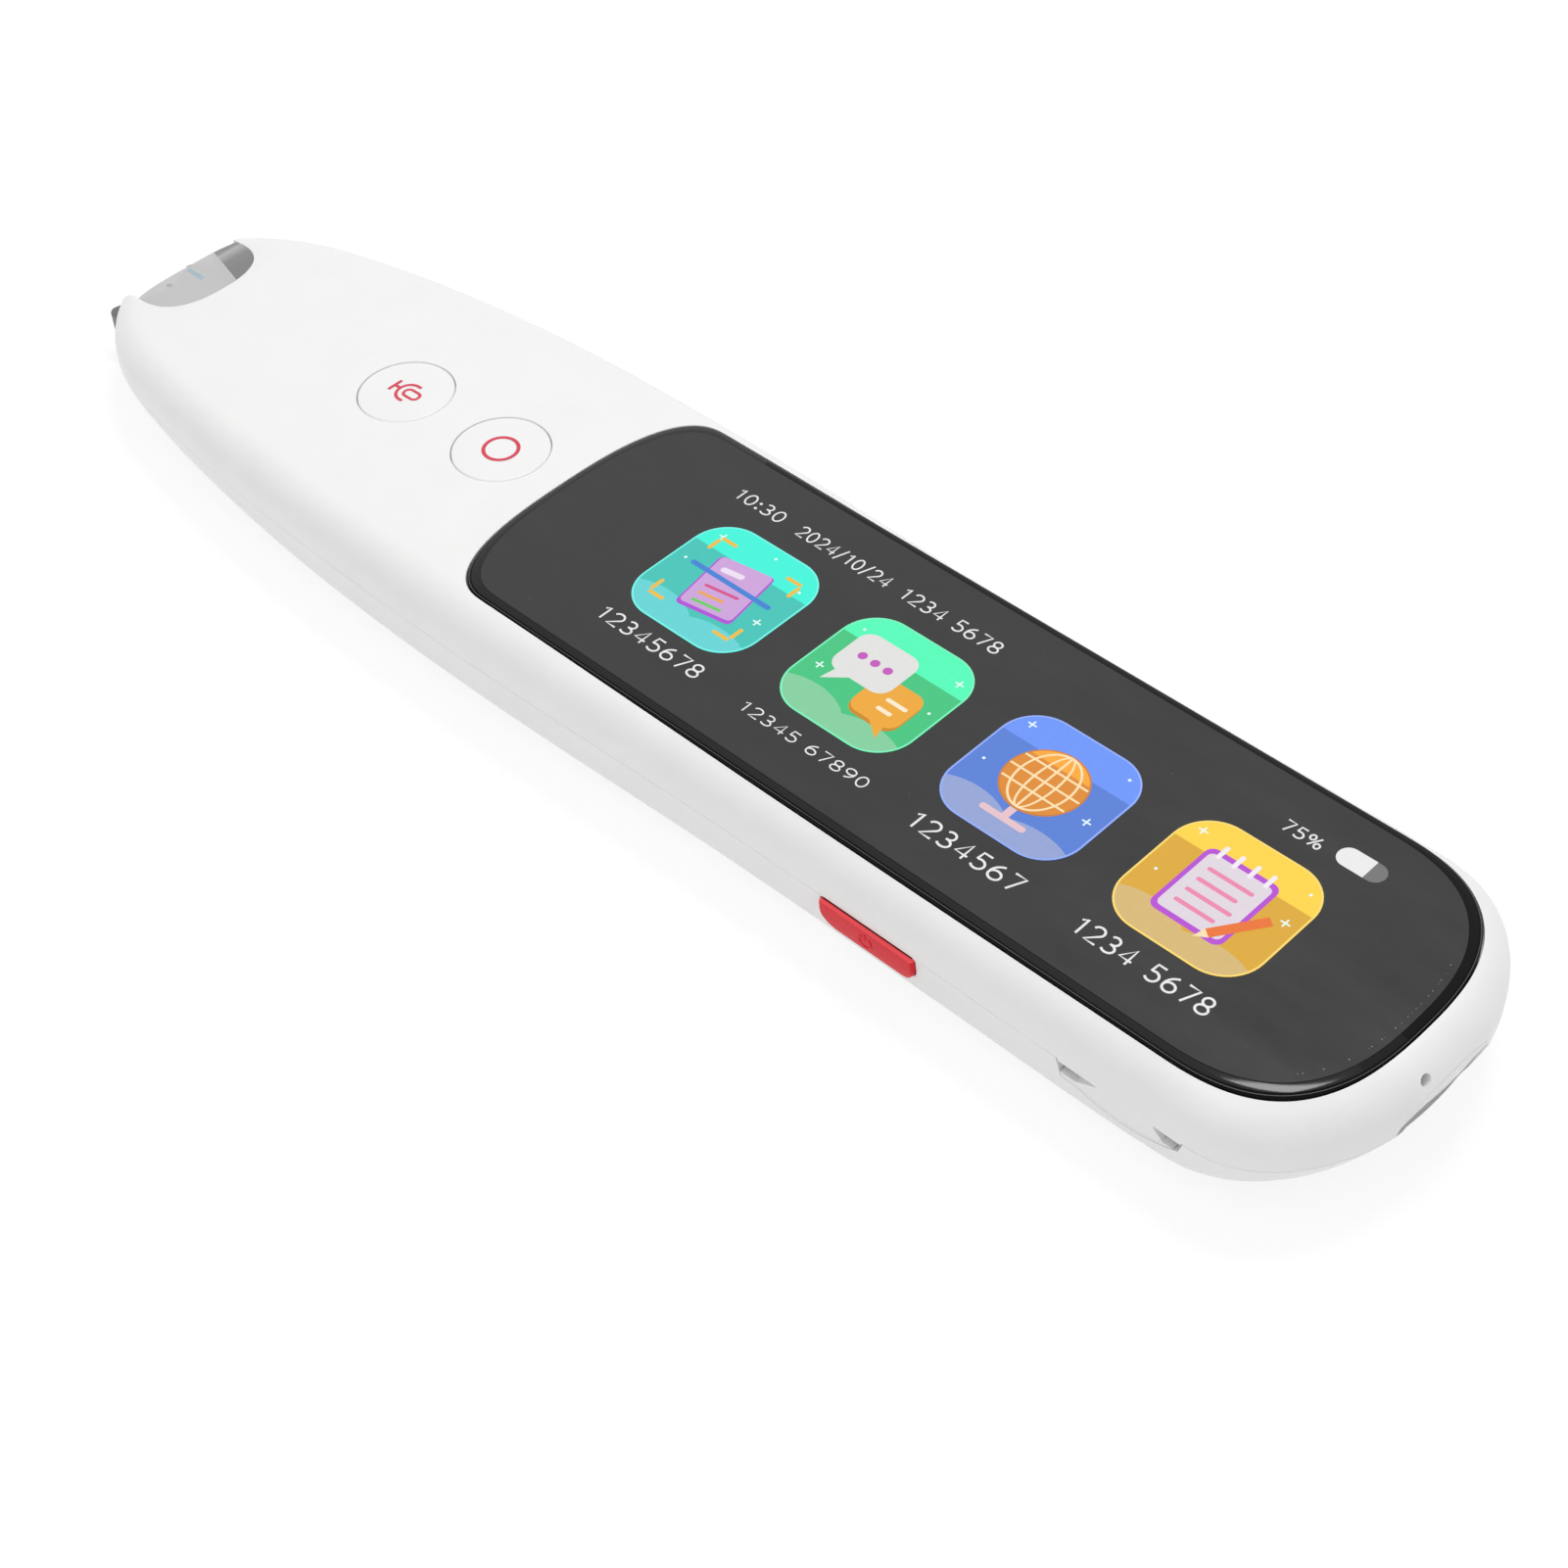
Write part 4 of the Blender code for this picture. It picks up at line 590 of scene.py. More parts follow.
def body_ring(insets, height_at):
    at_tip, at_side, at_butt = insets
    loop = bullet_loop(TIP_X + at_tip, BUTT_X - at_butt, lambda x: half_width(x) - at_side,
                       TIP_ROUND, BUTT_ROUND)
    return [Vector((x, y, height_at(x))) for x, y in loop]


def upper_ring(share, inset=0.0, ceiling=0.0):
    drawn = max(TOP_ROUND - inset, 0.0) * (1 - (1 - share ** 2) ** 0.5) + inset
    return body_ring((drawn, drawn, drawn), lambda x: widest_height(x)
                     + share * (top_height(x) - ceiling - widest_height(x)))


def under_insets(share, inset=0.0):
    drawn = 1 - (1 - min(share, 1.0) ** UNDER_ROUND_POWER) ** (1 / UNDER_ROUND_POWER)
    return [max(size - inset, 0.0) * drawn + inset for size in UNDER_ROUNDS]


def under_ring(share, inset=0.0, floor=0.0):
    return body_ring(under_insets(share, inset), lambda x: widest_height(x)
                     - share * (widest_height(x) - underside_height(x) - floor))


def parting_ring(inset, lift):
    share = (WIDEST_HEIGHT - PARTING_HEIGHT) / WIDEST_HEIGHT
    return body_ring(under_insets(share, inset), lambda x: parting_height(x) + lift)


def body_skin(inset):
    rings = [upper_ring(share, inset, inset) for share in TOP_SHARES]
    rings += [under_ring(share, inset, inset) for share in UNDER_SHARES]
    return skin(rings, mirrored=True)


def glass_loop(inset):
    return bullet_loop(GLASS_TIP_X + inset, GLASS_BUTT_X - inset, lambda x: GLASS_WIDTH / 2 - inset,
                       GLASS_TIP_ROUND, GLASS_BUTT_ROUND)


# Housing

def lobe_edge(shares, steps, margin=0.0):
    """The strap bridge's lower edge in (x, z), with steps from each share to the next."""
    half = STRAP_SPAN / 2 + margin
    points = []
    for (a, down_a), (b, down_b) in zip(shares, shares[1:]):
        for k in range(steps):
            t = k / steps
            points.append((STRAP_X + half * (2 * (a + (b - a) * t) - 1),
                           PARTING_HEIGHT - STRAP_DROP * (down_a + (down_b - down_a) * t) - margin))
    return points


def strap_lobe(margin, back_gap):
    wall = half_width(STRAP_X)
    points = lobe_edge(STRAP_SHARES, 4, margin) + lobe_edge([STRAP_SHARES[-1]] * 2, 1, margin)
    top = PARTING_HEIGHT + LIP_HEIGHT + STRAP_DEPTHS[2] + margin
    outline = points + [(points[-1][0], top), (points[0][0], top)]
    return side_prism(outline, -wall - OVERRUN, -wall + sum(STRAP_DEPTHS) + back_gap)


def strap_slots():
    """The tunnel behind the strap bridge and its two pointed mouths."""
    wall = half_width(STRAP_X)
    top, low = STRAP_SLOT_TOP, STRAP_SLOT_TOP - STRAP_SLOT_HEIGHT
    start, end = STRAP_X - STRAP_SPAN / 2 + FIT, STRAP_X + STRAP_SPAN / 2 - FIT
    inner = -wall + STRAP_DEPTHS[0]
    shapes = [prism(rect(start, inner, end, inner + STRAP_DEPTHS[1]), low, top)]
    for side, edge, length in zip((1, -1), (start, end), STRAP_SLOT_LENGTHS):
        mouth = edge + side * STRAP_MOUTH
        outer_form, inner_form = ([(edge, top), (edge, low), (mouth, low), (corner, top)]
                                  for corner in (edge + side * length, mouth))
        sections = ((outer_form, -wall - OVERRUN), (outer_form, -wall),
                    (inner_form, inner), (inner_form, inner + STRAP_DEPTHS[1] / 2))
        shapes.append(skin([side_ring(form, y) for form, y in sections]))
    return shapes


def slot_outline(width, height):
    return rect(-width / 2, PARTING_HEIGHT - height / 2, width / 2, PARTING_HEIGHT + height / 2,
                height / 2 * 0.999, 20)


def port_opening():
    """The dished oval recess round the connector and the passage behind it."""
    outer = []
    for y, z in slot_outline(*PORT_SIZE):
        rise = z - PARTING_HEIGHT
        grow = hypot(y / RECESS_MM[0], rise / RECESS_MM[1]) * 2 / MM
        outer.append((y / grow, PARTING_HEIGHT + rise / grow))
    inner = slot_outline(*PASSAGE_SIZE)
    sections = ((outer, BUTT_X + OVERRUN), (outer, RECESS_FLOOR_X + RECESS_DEPTH),
                (inner, RECESS_FLOOR_X), (inner, RECESS_FLOOR_X - PASSAGE_LENGTH))
    return skin([[Vector((x, y, z)) for y, z in outline] for outline, x in sections])


def microphone_bore():
    """A bore that enters the upper round square to its surface."""
    rise = BODY_HEIGHT - WIDEST_HEIGHT
    share = 1 - MICROPHONE_DROP / rise
    level = (1 - share ** 2) ** 0.5
    mouth = Vector((BUTT_X - TOP_ROUND * (1 - level), MICROPHONE_Y, BODY_HEIGHT - MICROPHONE_DROP))
    along = Vector((rise, 0.0, TOP_ROUND * share / level)).normalized()
    side = along.orthogonal().normalized()
    return skin([round_ring(mouth + along * reach, side, along.cross(side), MICROPHONE_RADIUS, 40)
                 for reach in (OVERRUN, -MICROPHONE_DEPTH)])


def window_arch(inset, flare=0.0):
    rear = WINDOW_REAR_X - inset
    half = WINDOW_WIDTH / 2 - inset
    length, power = WINDOW_ARCH[0] - inset, 2 / WINDOW_ARCH[1]
    side = [(rear, 0.0)]
    for i in range(1, ARCH_STEPS + 1):
        angle = pi / 2 * i / ARCH_STEPS
        side.append((rear - length * (1 - cos(angle) ** power), half * sin(angle) ** power))
    end = NIB_FRONT_X - OVERRUN
    side += [(WINDOW_FLARE_X, half), (end, half + flare * (WINDOW_FLARE_X - end))]
    return [(x, -y) for x, y in reversed(side[1:])] + side


def window_front(inset):
    """All that lies behind the leaning front of the window."""
    foot = WINDOW_FRONT_X - WINDOW_LEAN * BODY_HEIGHT + inset * (1 + WINDOW_LEAN ** 2) ** 0.5
    high = BODY_HEIGHT + OVERRUN
    rings = []
    for i in range(2 * FRONT_STEPS + 1):
        y = (i / FRONT_STEPS - 1) * BODY_WIDTH / 2
        front = foot + WINDOW_SAG * (2 * y / WINDOW_WIDTH) ** 4
        outline = ((front, 0.0), (0.0, 0.0), (0.0, high), (front + WINDOW_LEAN * high, high))
        rings.append(side_ring(outline, y))
    return skin(rings)


def surface_of(thing):
    return BVHTree.FromObject(thing, bpy.context.evaluated_depsgraph_get())


def groove(shell, points, direction):
    """Press a fine round line into a shell, where points seen along a direction meet it."""
    tree = surface_of(shell)
    along = Vector(direction)
    hits = [tree.ray_cast(Vector(point) - along * BODY_LENGTH, along)[0] for point in points]
    path = [hit for hit in hits if hit]
    rings = []
    for i, centre in enumerate(path):
        course = (path[min(i + 1, len(path) - 1)] - path[max(i - 1, 0)]).normalized()
        side = course.cross(along).normalized()
        rings.append(round_ring(centre, side, side.cross(course), GROOVE_RADIUS, 6))
    carve(shell, skin(rings))


def port_line():
    """The upper edge of the port's recess."""
    angles = [pi * (0.16 + 0.68 * i / LINE_STEPS) for i in range(LINE_STEPS + 1)]
    return [(0.0, PORT_LINE_MM[0] * MM * cos(angle),
             PARTING_HEIGHT + PORT_LINE_MM[1] * MM * sin(angle)) for angle in angles]


def key_ring(x, radius, height_at):
    places = [(x + radius * cos(tau * i / ROUND_STEPS), radius * sin(tau * i / ROUND_STEPS))
              for i in range(ROUND_STEPS)]
    return [Vector((px, py, height_at(px))) for px, py in places]


def make_upper_housing():
    rings = [upper_ring(share) for share in TOP_SHARES]
    rings.append(parting_ring(0.0, PARTING_GAP / 2 + SEAM_EDGE))
    rings += [parting_ring(inset, PARTING_GAP / 2) for inset in (SEAM_EDGE, SIDE_WALL)]
    rings += [upper_ring(share, SIDE_WALL, TOP_WALL) for share in (0.0, 0.4, 0.75, 0.93, 1.0)]
    shell = finish(skin(rings, mirrored=True), "upper_housing", WHITE)
    block = finish(strap_lobe(0.0, 0.0), "block", WHITE, body=None)
    merge(block, body_skin(0.0), "INTERSECT")
    merge(shell, form_of(block), "UNION")
    pocket = ((-FIT, SEAT_Z), (-FIT, BODY_HEIGHT - SOFT_EDGE),
              (-FIT - SOFT_EDGE, BODY_HEIGHT + SOFT_EDGE / 8),
              (-FIT - SOFT_EDGE, GLASS_TOP_Z + OVERRUN))
    carve(shell, skin([level_ring(glass_loop(inset), z) for inset, z in pocket]),
          prism(glass_loop(ADHESIVE_WIDTH), SCREEN_OPENING_LOW, SEAT_Z + 3 * FIT))
    for x in KEY_X.values():
        hole = KEY_RADIUS + KEY_GAP
        levels = ((hole, -KEY_HOLE_DEPTH), (hole, -SOFT_EDGE), (hole + SOFT_EDGE, SOFT_EDGE / 8),
                  (hole + SOFT_EDGE, OVERRUN))
        carve(shell, skin([key_ring(x, radius, lambda px: top_height(px) + lift)
                           for radius, lift in levels]))
    sections = ((0.0, 0.0), (0.0, PARTING_HEIGHT), (WINDOW_FLARE, BODY_HEIGHT + OVERRUN))
    carve(shell, skin([level_ring(window_arch(0.0, flare), z) for flare, z in sections]))
    lip = ((0.0, -2 * WINDOW_LIP), (0.0, -WINDOW_LIP), (-WINDOW_LIP * 0.3, -WINDOW_LIP * 0.3),
           (-WINDOW_LIP, SOFT_EDGE / 8), (-WINDOW_LIP, OVERRUN))
    carve(shell, skin([[Vector((x, y, top_height(x) + lift)) for x, y in window_arch(inset)]
                       for inset, lift in lip]))
    carve(shell, *strap_slots(), port_opening(), microphone_bore())
    lobe_line = [(x, 0.0, z + LOBE_LINE_RISE) for x, z in lobe_edge(STRAP_SHARES[1:-1], 6)]
    groove(shell, lobe_line, (0, 1, 0))
    groove(shell, port_line(), (-1, 0, 0))
    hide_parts("top_shell")


def power_outline(margin):
    top = PARTING_HEIGHT - PARTING_GAP / 2 - FIT
    return rounded_outline(POWER_X - POWER_HALF_LENGTH - margin, top - POWER_HEIGHT - margin,
                           POWER_X + POWER_HALF_LENGTH + margin, top + margin,
                           [max(radius + margin, 0.03 * MM) for radius in POWER_RADII], 12)


def make_lower_housing():
    rings = [under_ring(share) for share in reversed(UNDER_SHARES)]
    rings.append(parting_ring(0.0, -PARTING_GAP / 2 - SEAM_EDGE))
    rings += [parting_ring(inset, -PARTING_GAP / 2) for inset in (SEAM_EDGE, LIP_INSET)]
    rings += [parting_ring(inset, LIP_HEIGHT) for inset in (LIP_INSET, INNER_INSET)]
    rings += [under_ring(share, INNER_INSET, FLOOR_WALL) for share in (0.45, 0.7, 0.88, 0.97, 1.0)]
    shell = finish(skin(rings, mirrored=True), "lower_housing", WHITE)
    inner = -half_width(POWER_X) + INNER_INSET + FLANGE_START
    carve(shell, side_prism(power_outline(FIT), -BODY_WIDTH / 2 - OVERRUN, inner))
    carve(shell, strap_lobe(LOBE_GAP, LOBE_GAP), port_opening())
    arm_low = parting_height(TIP_X) - NIB_BELOW_PARTING + NIB_HEIGHT + ARM_RISE - ARM_SIZE[2] - FIT
    rear = NIB_FRONT_X + NIB_LENGTH + NIB_TRAVEL + FIT
    front, back = NIB_FRONT_X - OVERRUN, rear + ARM_CHANNEL
    channel = [(front, 0.0), (rear, 0.0), (rear, arm_low), (back, arm_low), (back, BODY_HEIGHT),
               (front, BODY_HEIGHT)]
    carve(shell, side_prism(channel, -WINDOW_WIDTH / 2, WINDOW_WIDTH / 2))
    half, reach, corner = SPEAKER_SLOT
    for i in range(SPEAKER_SLOTS):
        x = SPEAKER_X + (i - SPEAKER_SLOTS // 2) * SPEAKER_PITCH
        slot = rect(x - half, -reach, x + half, reach, corner, 8)
        carve(shell, prism(slot, -OVERRUN, FLOOR_WALL + OVERRUN))
    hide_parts("bottom_shell")


def make_cover_glass():
    """The glass, its rim in black with a grey line of painted reflection and its border in three
    depths of black, the two darker ones painted shade.
    """
    height = GLASS_TOP_Z - GLASS_EDGE_Z
    rings = [level_ring(glass_loop(0.0), GLASS_BOTTOM_Z)]
    for angle in GLASS_ANGLES:
        inset = GLASS_ROUND * (1 - cos(radians(angle)))
        rings.append(level_ring(glass_loop(inset), GLASS_EDGE_Z + sin(radians(angle)) * height))
    glass = finish(skin(rings, mirrored=True), "cover_glass_fine", RIM)
    for paint_used in (GLASS_PAINTED_REFLECTION, BORDER, BORDER_PAINTED_SHADE_MID, BORDER_PAINTED_SHADE_DARK):
        glass.data.materials.append(paint_used)
    line_low, line_high, border = (sin(radians(angle)) for angle in (*REFLECTION_LINE, BORDER_ANGLE))
    for face in glass.data.polygons:
        share = (face.center.z - GLASS_EDGE_Z) / height
        x, y = face.center.x / MM, face.center.y / MM
        if share > border:
            # Past these places the border takes its darker copies, as painted shade.
            dark, mid = (x > low_x and y > low_y for low_x, low_y in (DEEP_SHADE_FROM, MID_SHADE_FROM))
            face.material_index = 4 if dark else 3 if mid else 2
        elif line_low < share < line_high:
            face.material_index = 1
    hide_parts("cover_glass")


# Sheets: thin flat forms that lie on a surface

def face_up(made):
    made.normal_update()
    for face in made.faces:
        if face.normal.z < 0:
            face.normal_flip()


class Picture:
    """One object made of coplanar coloured forms, each layer a step above the one before."""

    def __init__(self, name, x=0.0, y=0.0):
        self.name = name
        self.origin = (x, y)
        self.mesh = bmesh.new()
        self.paints = []
        self.layer = 1

    def faces(self, outlines, colour, corners_of):
        """Faces between points of outlines, in millimetres from the picture's own origin."""
        paint_used = shown(*colour)
        x, y = (part * MM for part in self.origin)
        z = GLASS_TOP_Z + SHEET_STEP * (self.layer + 1)
        rows = [[self.mesh.verts.new((x + a * MM, y + b * MM, z)) for a, b in outline]
                for outline in outlines]
        if paint_used not in self.paints:
            self.paints.append(paint_used)
        for corners in corners_of(*rows):
            self.mesh.faces.new(corners).material_index = self.paints.index(paint_used)

    def form(self, outline, *colour):
        area = sum(a[0] * b[1] - b[0] * a[1] for a, b in zip(outline, outline[1:] + outline[:1]))
        self.faces([outline if area > 0 else outline[::-1]], colour, lambda row: [row])

    def ring(self, outer, inner, *colour):
        self.faces([outer, inner], colour, lambda upper, lower: [
            (lower[i - 1], upper[i - 1], upper[i], lower[i]) for i in range(1, len(upper))]
            + [(lower[-1], upper[-1], upper[0], lower[0])])

    def up(self):
        self.layer += 1

    def finish(self):
        face_up(self.mesh)
        bmesh.ops.triangulate(self.mesh, faces=self.mesh.faces)
        as_piece(self.mesh, self.name, self.paints, "housing")


def ellipse(x, y, a, b, steps=40):
    return [(x + a * cos(tau * i / steps), y + b * sin(tau * i / steps)) for i in range(steps)]


def turned(outline, angle, x=0.0, y=0.0):
    c, s = cos(radians(angle)), sin(radians(angle))
    return [(x + a * c - b * s, y + a * s + b * c) for a, b in outline]


def cut(outline, start, end):
    """The part of a convex outline to the left of a line."""
    (ax, ay), (bx, by) = start, end
    kept = []
    for (px, py), (qx, qy) in zip(outline, outline[1:] + outline[:1]):
        dp, dq = ((bx - ax) * (y - ay) - (by - ay) * (x - ax) for x, y in ((px, py), (qx, qy)))
        if dp >= 0:
            kept.append((px, py))
        if (dp >= 0) != (dq >= 0):
            t = dp / (dp - dq)
            kept.append((px + (qx - px) * t, py + (qy - py) * t))
    return kept


def clipped(outline, keep_side, level):
    """The part of an outline above (1) or below (-1) a level."""
    return cut(outline, (0.0, level), (keep_side, level))


def within(outline, border):
    """The part of a convex outline inside another convex one."""
    for start, end in zip(border, border[1:] + border[:1]):
        outline = cut(outline, start, end)
    return outline


def shown(name, *values):
    """The lit paint of a display colour given in screen values."""
    colour = (((v / 255 + 0.055) / 1.055) ** 2.4 for v in values)
    return bpy.data.materials.get(name) or lit_paint(name, tuple(colour))


# Each tile's place, its colours (middle, upper band of painted glare, hills, outline) and its
# lights (place, size)
TILES = {
    "icon_page": (3.74, ((70, 196, 184), (66, 244, 218), (104, 212, 214), (120, 246, 232)),
                  ((-4.6, 4.4, 0.42), (4.9, 3.6, 0.14), (-5.2, 0.6, 0.14), (4.8, -1.2, 0.42),
                   (0.6, 5.3, 0.14))),
    "icon_speech": (20.61, ((72, 198, 130), (86, 250, 186), (134, 208, 160), (126, 244, 190)),
                    ((-5.0, 3.9, 0.14), (4.9, 4.2, 0.42), (-4.9, -1.4, 0.42), (5.3, 0.2, 0.14))),
    "icon_globe": (37.48, ((92, 130, 216), (112, 152, 250), (150, 166, 214), (150, 176, 250)),
                   ((-4.8, 4.6, 0.42), (4.6, 4.9, 0.14), (5.0, -0.6, 0.42), (-5.2, -0.6, 0.14))),
    "icon_note": (54.36, ((222, 172, 62), (255, 214, 78), (216, 186, 122), (255, 222, 120)),
                  ((-4.9, 4.5, 0.42), (4.9, 4.6, 0.14), (-5.1, -0.8, 0.14), (5.2, 1.2, 0.42))),
}


def light_forms(x, y, size, thin=0.07):
    """A small round light or, where it is larger, a plus sign."""
    if size < 0.3:
        return [ellipse(x, y, size, size, 12)]
    return [rect(x - size, y - thin, x + size, y + thin),
            rect(x - thin, y + thin, x + thin, y + size),
            rect(x - thin, y - size, x + thin, y - thin)]


def tile(name):
    """A rounded tile with an upper band brighter by painted glare, two low hills, a pale outline
    and its lights.
    """
    x, (middle, glare_colour, hill, line), lights = TILES[name]
    half, corner, band, thin = 6.44, 3.54, 2.9, 0.16
    art = Picture(name, x, -0.2)
    outline = rect(-half, -half, half, half, corner, 12)
    art.form(clipped(outline, -1, band), name + "_base", *middle)
    art.form(clipped(outline, 1, band), name + "_painted_glare", *glare_colour)
    for low_hill in (ellipse(-3.4, -6.2, 4.6, 3.1), ellipse(3.2, -6.9, 5.0, 3.3)):
        art.up()
        art.form(within(low_hill, outline), name + "_hill", *hill)
    art.up()
    inner = rect(thin - half, thin - half, half - thin, half - thin, corner - thin, 12)
    art.ring(outline, inner, name + "_line", *line)
    for light in lights:
        for form in light_forms(*light):
            art.form(form, "spark", 235, 255, 250)
    art.up()
    return art


def page_icon():
    """A leaning sheet inside four corner marks, crossed by a scanning bar."""
    art = tile("icon_page")
    art.form(turned(rect(-2.75, -3.3, 2.75, 3.3, 0.5), 9, 0.15, -0.15), "violet_edge", 176, 82, 214)
    art.up()
    art.form(turned(rect(-2.55, -3.0, 2.6, 3.2, 0.45), 9, 0.1, -0.05), "lilac", 205, 164, 220)
    art.up()
    lines = ((1.7, 214, 84, 140), (0.9, 234, 166, 84), (1.3, 108, 206, 96))
    for i, (end, *colour) in enumerate(lines):
        line = rect(-1.7, -0.16, end, 0.16, 0.15)
        art.form(turned(line, 9, 0.1 + 0.17 * i, -0.5 - 0.95 * i), f"page_line_{i}", *colour)
    art.form(turned(rect(-1.7, -0.3, 0.6, 0.3, 0.28), 9, -0.25, 1.75), "page_head", 236, 224, 242)
    art.up()
    art.form(rect(-4.5, 0.35, 4.5, 0.85, 0.24), "scan_bar", 70, 130, 214)
    for x, inner in ((-4.55, -2.85), (4.55, 2.85)):
        for y, low, high in ((-4.25, 0.25, 1.7), (4.25, -1.7, -0.25)):
            for form in (rect(min(x, inner), y - 0.19, max(x, inner), y + 0.19, 0.15),
                         rect(x - 0.19, y + low, x + 0.19, y + high, 0.15)):
                art.form(form, "corner_mark", 240, 190, 70)
    art.finish()


def speech_icon():
    """Two overlapping speech bubbles with dots."""
    art = tile("icon_speech")
    art.form(rect(-0.3, -3.7, 4.6, 0.9, 1.2), "bubble_deep", 204, 138, 40)
    for bubble, tail, *colour in (
            (rect(-0.35, -3.35, 4.5, 1.15, 1.15), [(2.2, -3.3), (3.7, -3.3), (4.0, -4.6)],
             "bubble_orange", 238, 170, 60),
            (rect(-4.7, -1.0, 1.4, 4.1, 1.3), [(-3.6, -0.9), (-2.0, -0.9), (-3.9, -2.5)],
             "bubble_white", 226, 226, 224)):
        art.up()
        art.form(bubble, *colour)
        art.form(tail, *colour)
    art.up()
    for i in range(3):
        art.form(ellipse(-3.0 + 1.35 * i, 1.55, 0.42, 0.42, 20), "bubble_dot", 196, 92, 190)
    for i in range(2):
        line = rect(1.75, -1.0 - 1.15 * i, 3.9 - 0.6 * i, -0.6 - 1.15 * i, 0.18)
        art.form(line, "bubble_line", 250, 236, 206)
    art.finish()


def globe_icon():
    """A globe with bands on a small stand."""
    art = tile("icon_globe")
    for form in (rect(-2.2, -4.7, 2.2, -4.1, 0.28), rect(-0.35, -4.1, 0.35, -3.1)):
        art.form(form, "stand", 232, 196, 204)
    art.up()
    art.form(ellipse(0.0, 0.45, 3.55, 3.55, 56), "globe_deep", 206, 128, 58)
    art.up()
    disc = ellipse(0.0, 0.45, 3.4, 3.4, 56)
    # The globe's upper part is brighter by the same painted glare.
    art.form(clipped(disc, -1, 2.3), "globe", 224, 142, 56)
    art.form(clipped(disc, 1, 2.3), "globe_painted_glare", 252, 172, 62)
    pale = ("globe_line", 252, 226, 178)
    for a in (1.15, 2.5):
        art.up()
        art.ring(ellipse(0.0, 0.45, a, 3.4, 48), ellipse(0.0, 0.45, a - 0.2, 3.2, 48), *pale)
    art.up()
    for y in (-0.95, 0.45, 1.85):
        half = (3.4 ** 2 - (y - 0.45) ** 2) ** 0.5
        art.form(rect(-half, y - 0.1, half, y + 0.1), *pale)
    art.form(rect(-0.1, -2.95, 0.1, 3.85), *pale)
    art.finish()


def note_icon():
    """A ringed note pad with a pencil across its corner."""
    art = tile("icon_note")
    art.form(rect(-3.5, -3.9, 3.1, 3.7, 0.8), "pad_edge", 186, 84, 214)
    art.up()
    art.form(rect(-3.1, -3.4, 2.7, 3.2, 0.5), "pad_page", 226, 216, 226)
    art.up()
    for i in range(4):
        line = rect(-2.3, 1.55 - 1.3 * i, 1.9 - 0.5 * (i % 2), 1.95 - 1.3 * i, 0.18)
        art.form(line, "pad_line", 238, 140, 176)
    for i in range(4):
        ring = rect(-2.6 + 1.45 * i, 2.9, -2.2 + 1.45 * i, 4.4, 0.18)
        art.form(ring, "pad_ring", 242, 238, 244)
    art.up()
    pencil, point = rect(-0.45, -2.2, 0.45, 2.6), [(-0.45, -2.2), (0.45, -2.2), (0.0, -3.3)]
    art.form(turned(pencil, -35, 2.9, -1.5), "pencil", 236, 120, 60)
    art.form(turned(point, -35, 2.9, -1.5), "pencil_point", 250, 226, 180)
    art.finish()


def bow(x, y, a, b, start, end, steps=14):
    angles = [radians(start + (end - start) * i / steps) for i in range(steps + 1)]
    return [(x + a * cos(angle), y + b * sin(angle)) for angle in angles]


def hoop(x, y, a, b, steps):
    return bow(x, y, a, b, 0, 360, steps)


SIX = [bow(0.62, 0.36, 0.58, 0.6, 112, 180), hoop(0.29, 0.29, 0.25, 0.26, 22)]
# The centre lines of each digit or sign in a cell 1 high, and its width
SIGNS = {
    "0": ([hoop(0.29, 0.5, 0.25, 0.47, 26)], 0.58),
    "1": ([[(0.1, 0.78), (0.3, 0.97), (0.3, 0.03)]], 0.46),
    "2": ([bow(0.29, 0.71, 0.24, 0.26, 165, -38) + [(0.05, 0.03), (0.55, 0.03)]], 0.58),
    "3": ([bow(0.26, 0.74, 0.21, 0.23, 145, -90) + [(0.2, 0.51)],
           bow(0.26, 0.27, 0.26, 0.24, 90, -145)], 0.57),
    "4": ([[(0.43, 0.03), (0.43, 0.97), (0.03, 0.29), (0.57, 0.29)]], 0.6),
    "5": ([[(0.5, 0.97), (0.13, 0.97), (0.1, 0.54)]
           + bow(0.27, 0.31, 0.26, 0.28, 118, -145)], 0.57),
    "6": (SIX, 0.58),
    "7": ([[(0.04, 0.97), (0.54, 0.97), (0.2, 0.03)]], 0.56),
    "8": ([hoop(0.29, 0.74, 0.21, 0.23, 22), hoop(0.29, 0.27, 0.25, 0.24, 22)], 0.58),
    "9": ([[(0.58 - x, 1 - y) for x, y in line] for line in SIX], 0.58),
    "/": ([[(0.0, -0.1), (0.36, 1.05)]], 0.38),
    ":": ([hoop(0.1, 0.12, 0.045, 0.045, 10), hoop(0.1, 0.64, 0.045, 0.045, 10)], 0.2),
    "%": ([hoop(0.18, 0.74, 0.15, 0.22, 18), hoop(0.66, 0.26, 0.15, 0.22, 18),
           [(0.64, 0.97), (0.2, 0.03)]], 0.84),
    " ": ([], 0.3),
}
SIGN_GAP = 0.16


def stroke(points, width):
    """The two sides of a strip along an open line of points, with as many points each."""
    left, right = [], []
    for i, (x, y) in enumerate(points):
        ax, ay = points[max(i - 1, 0)]
        bx, by = points[min(i + 1, len(points) - 1)]
        size = hypot(bx - ax, by - ay)
        nx, ny = -(by - ay) / size, (bx - ax) / size
        left.append((x + nx * width / 2, y + ny * width / 2))
        right.append((x - nx * width / 2, y - ny * width / 2))
    return left, right


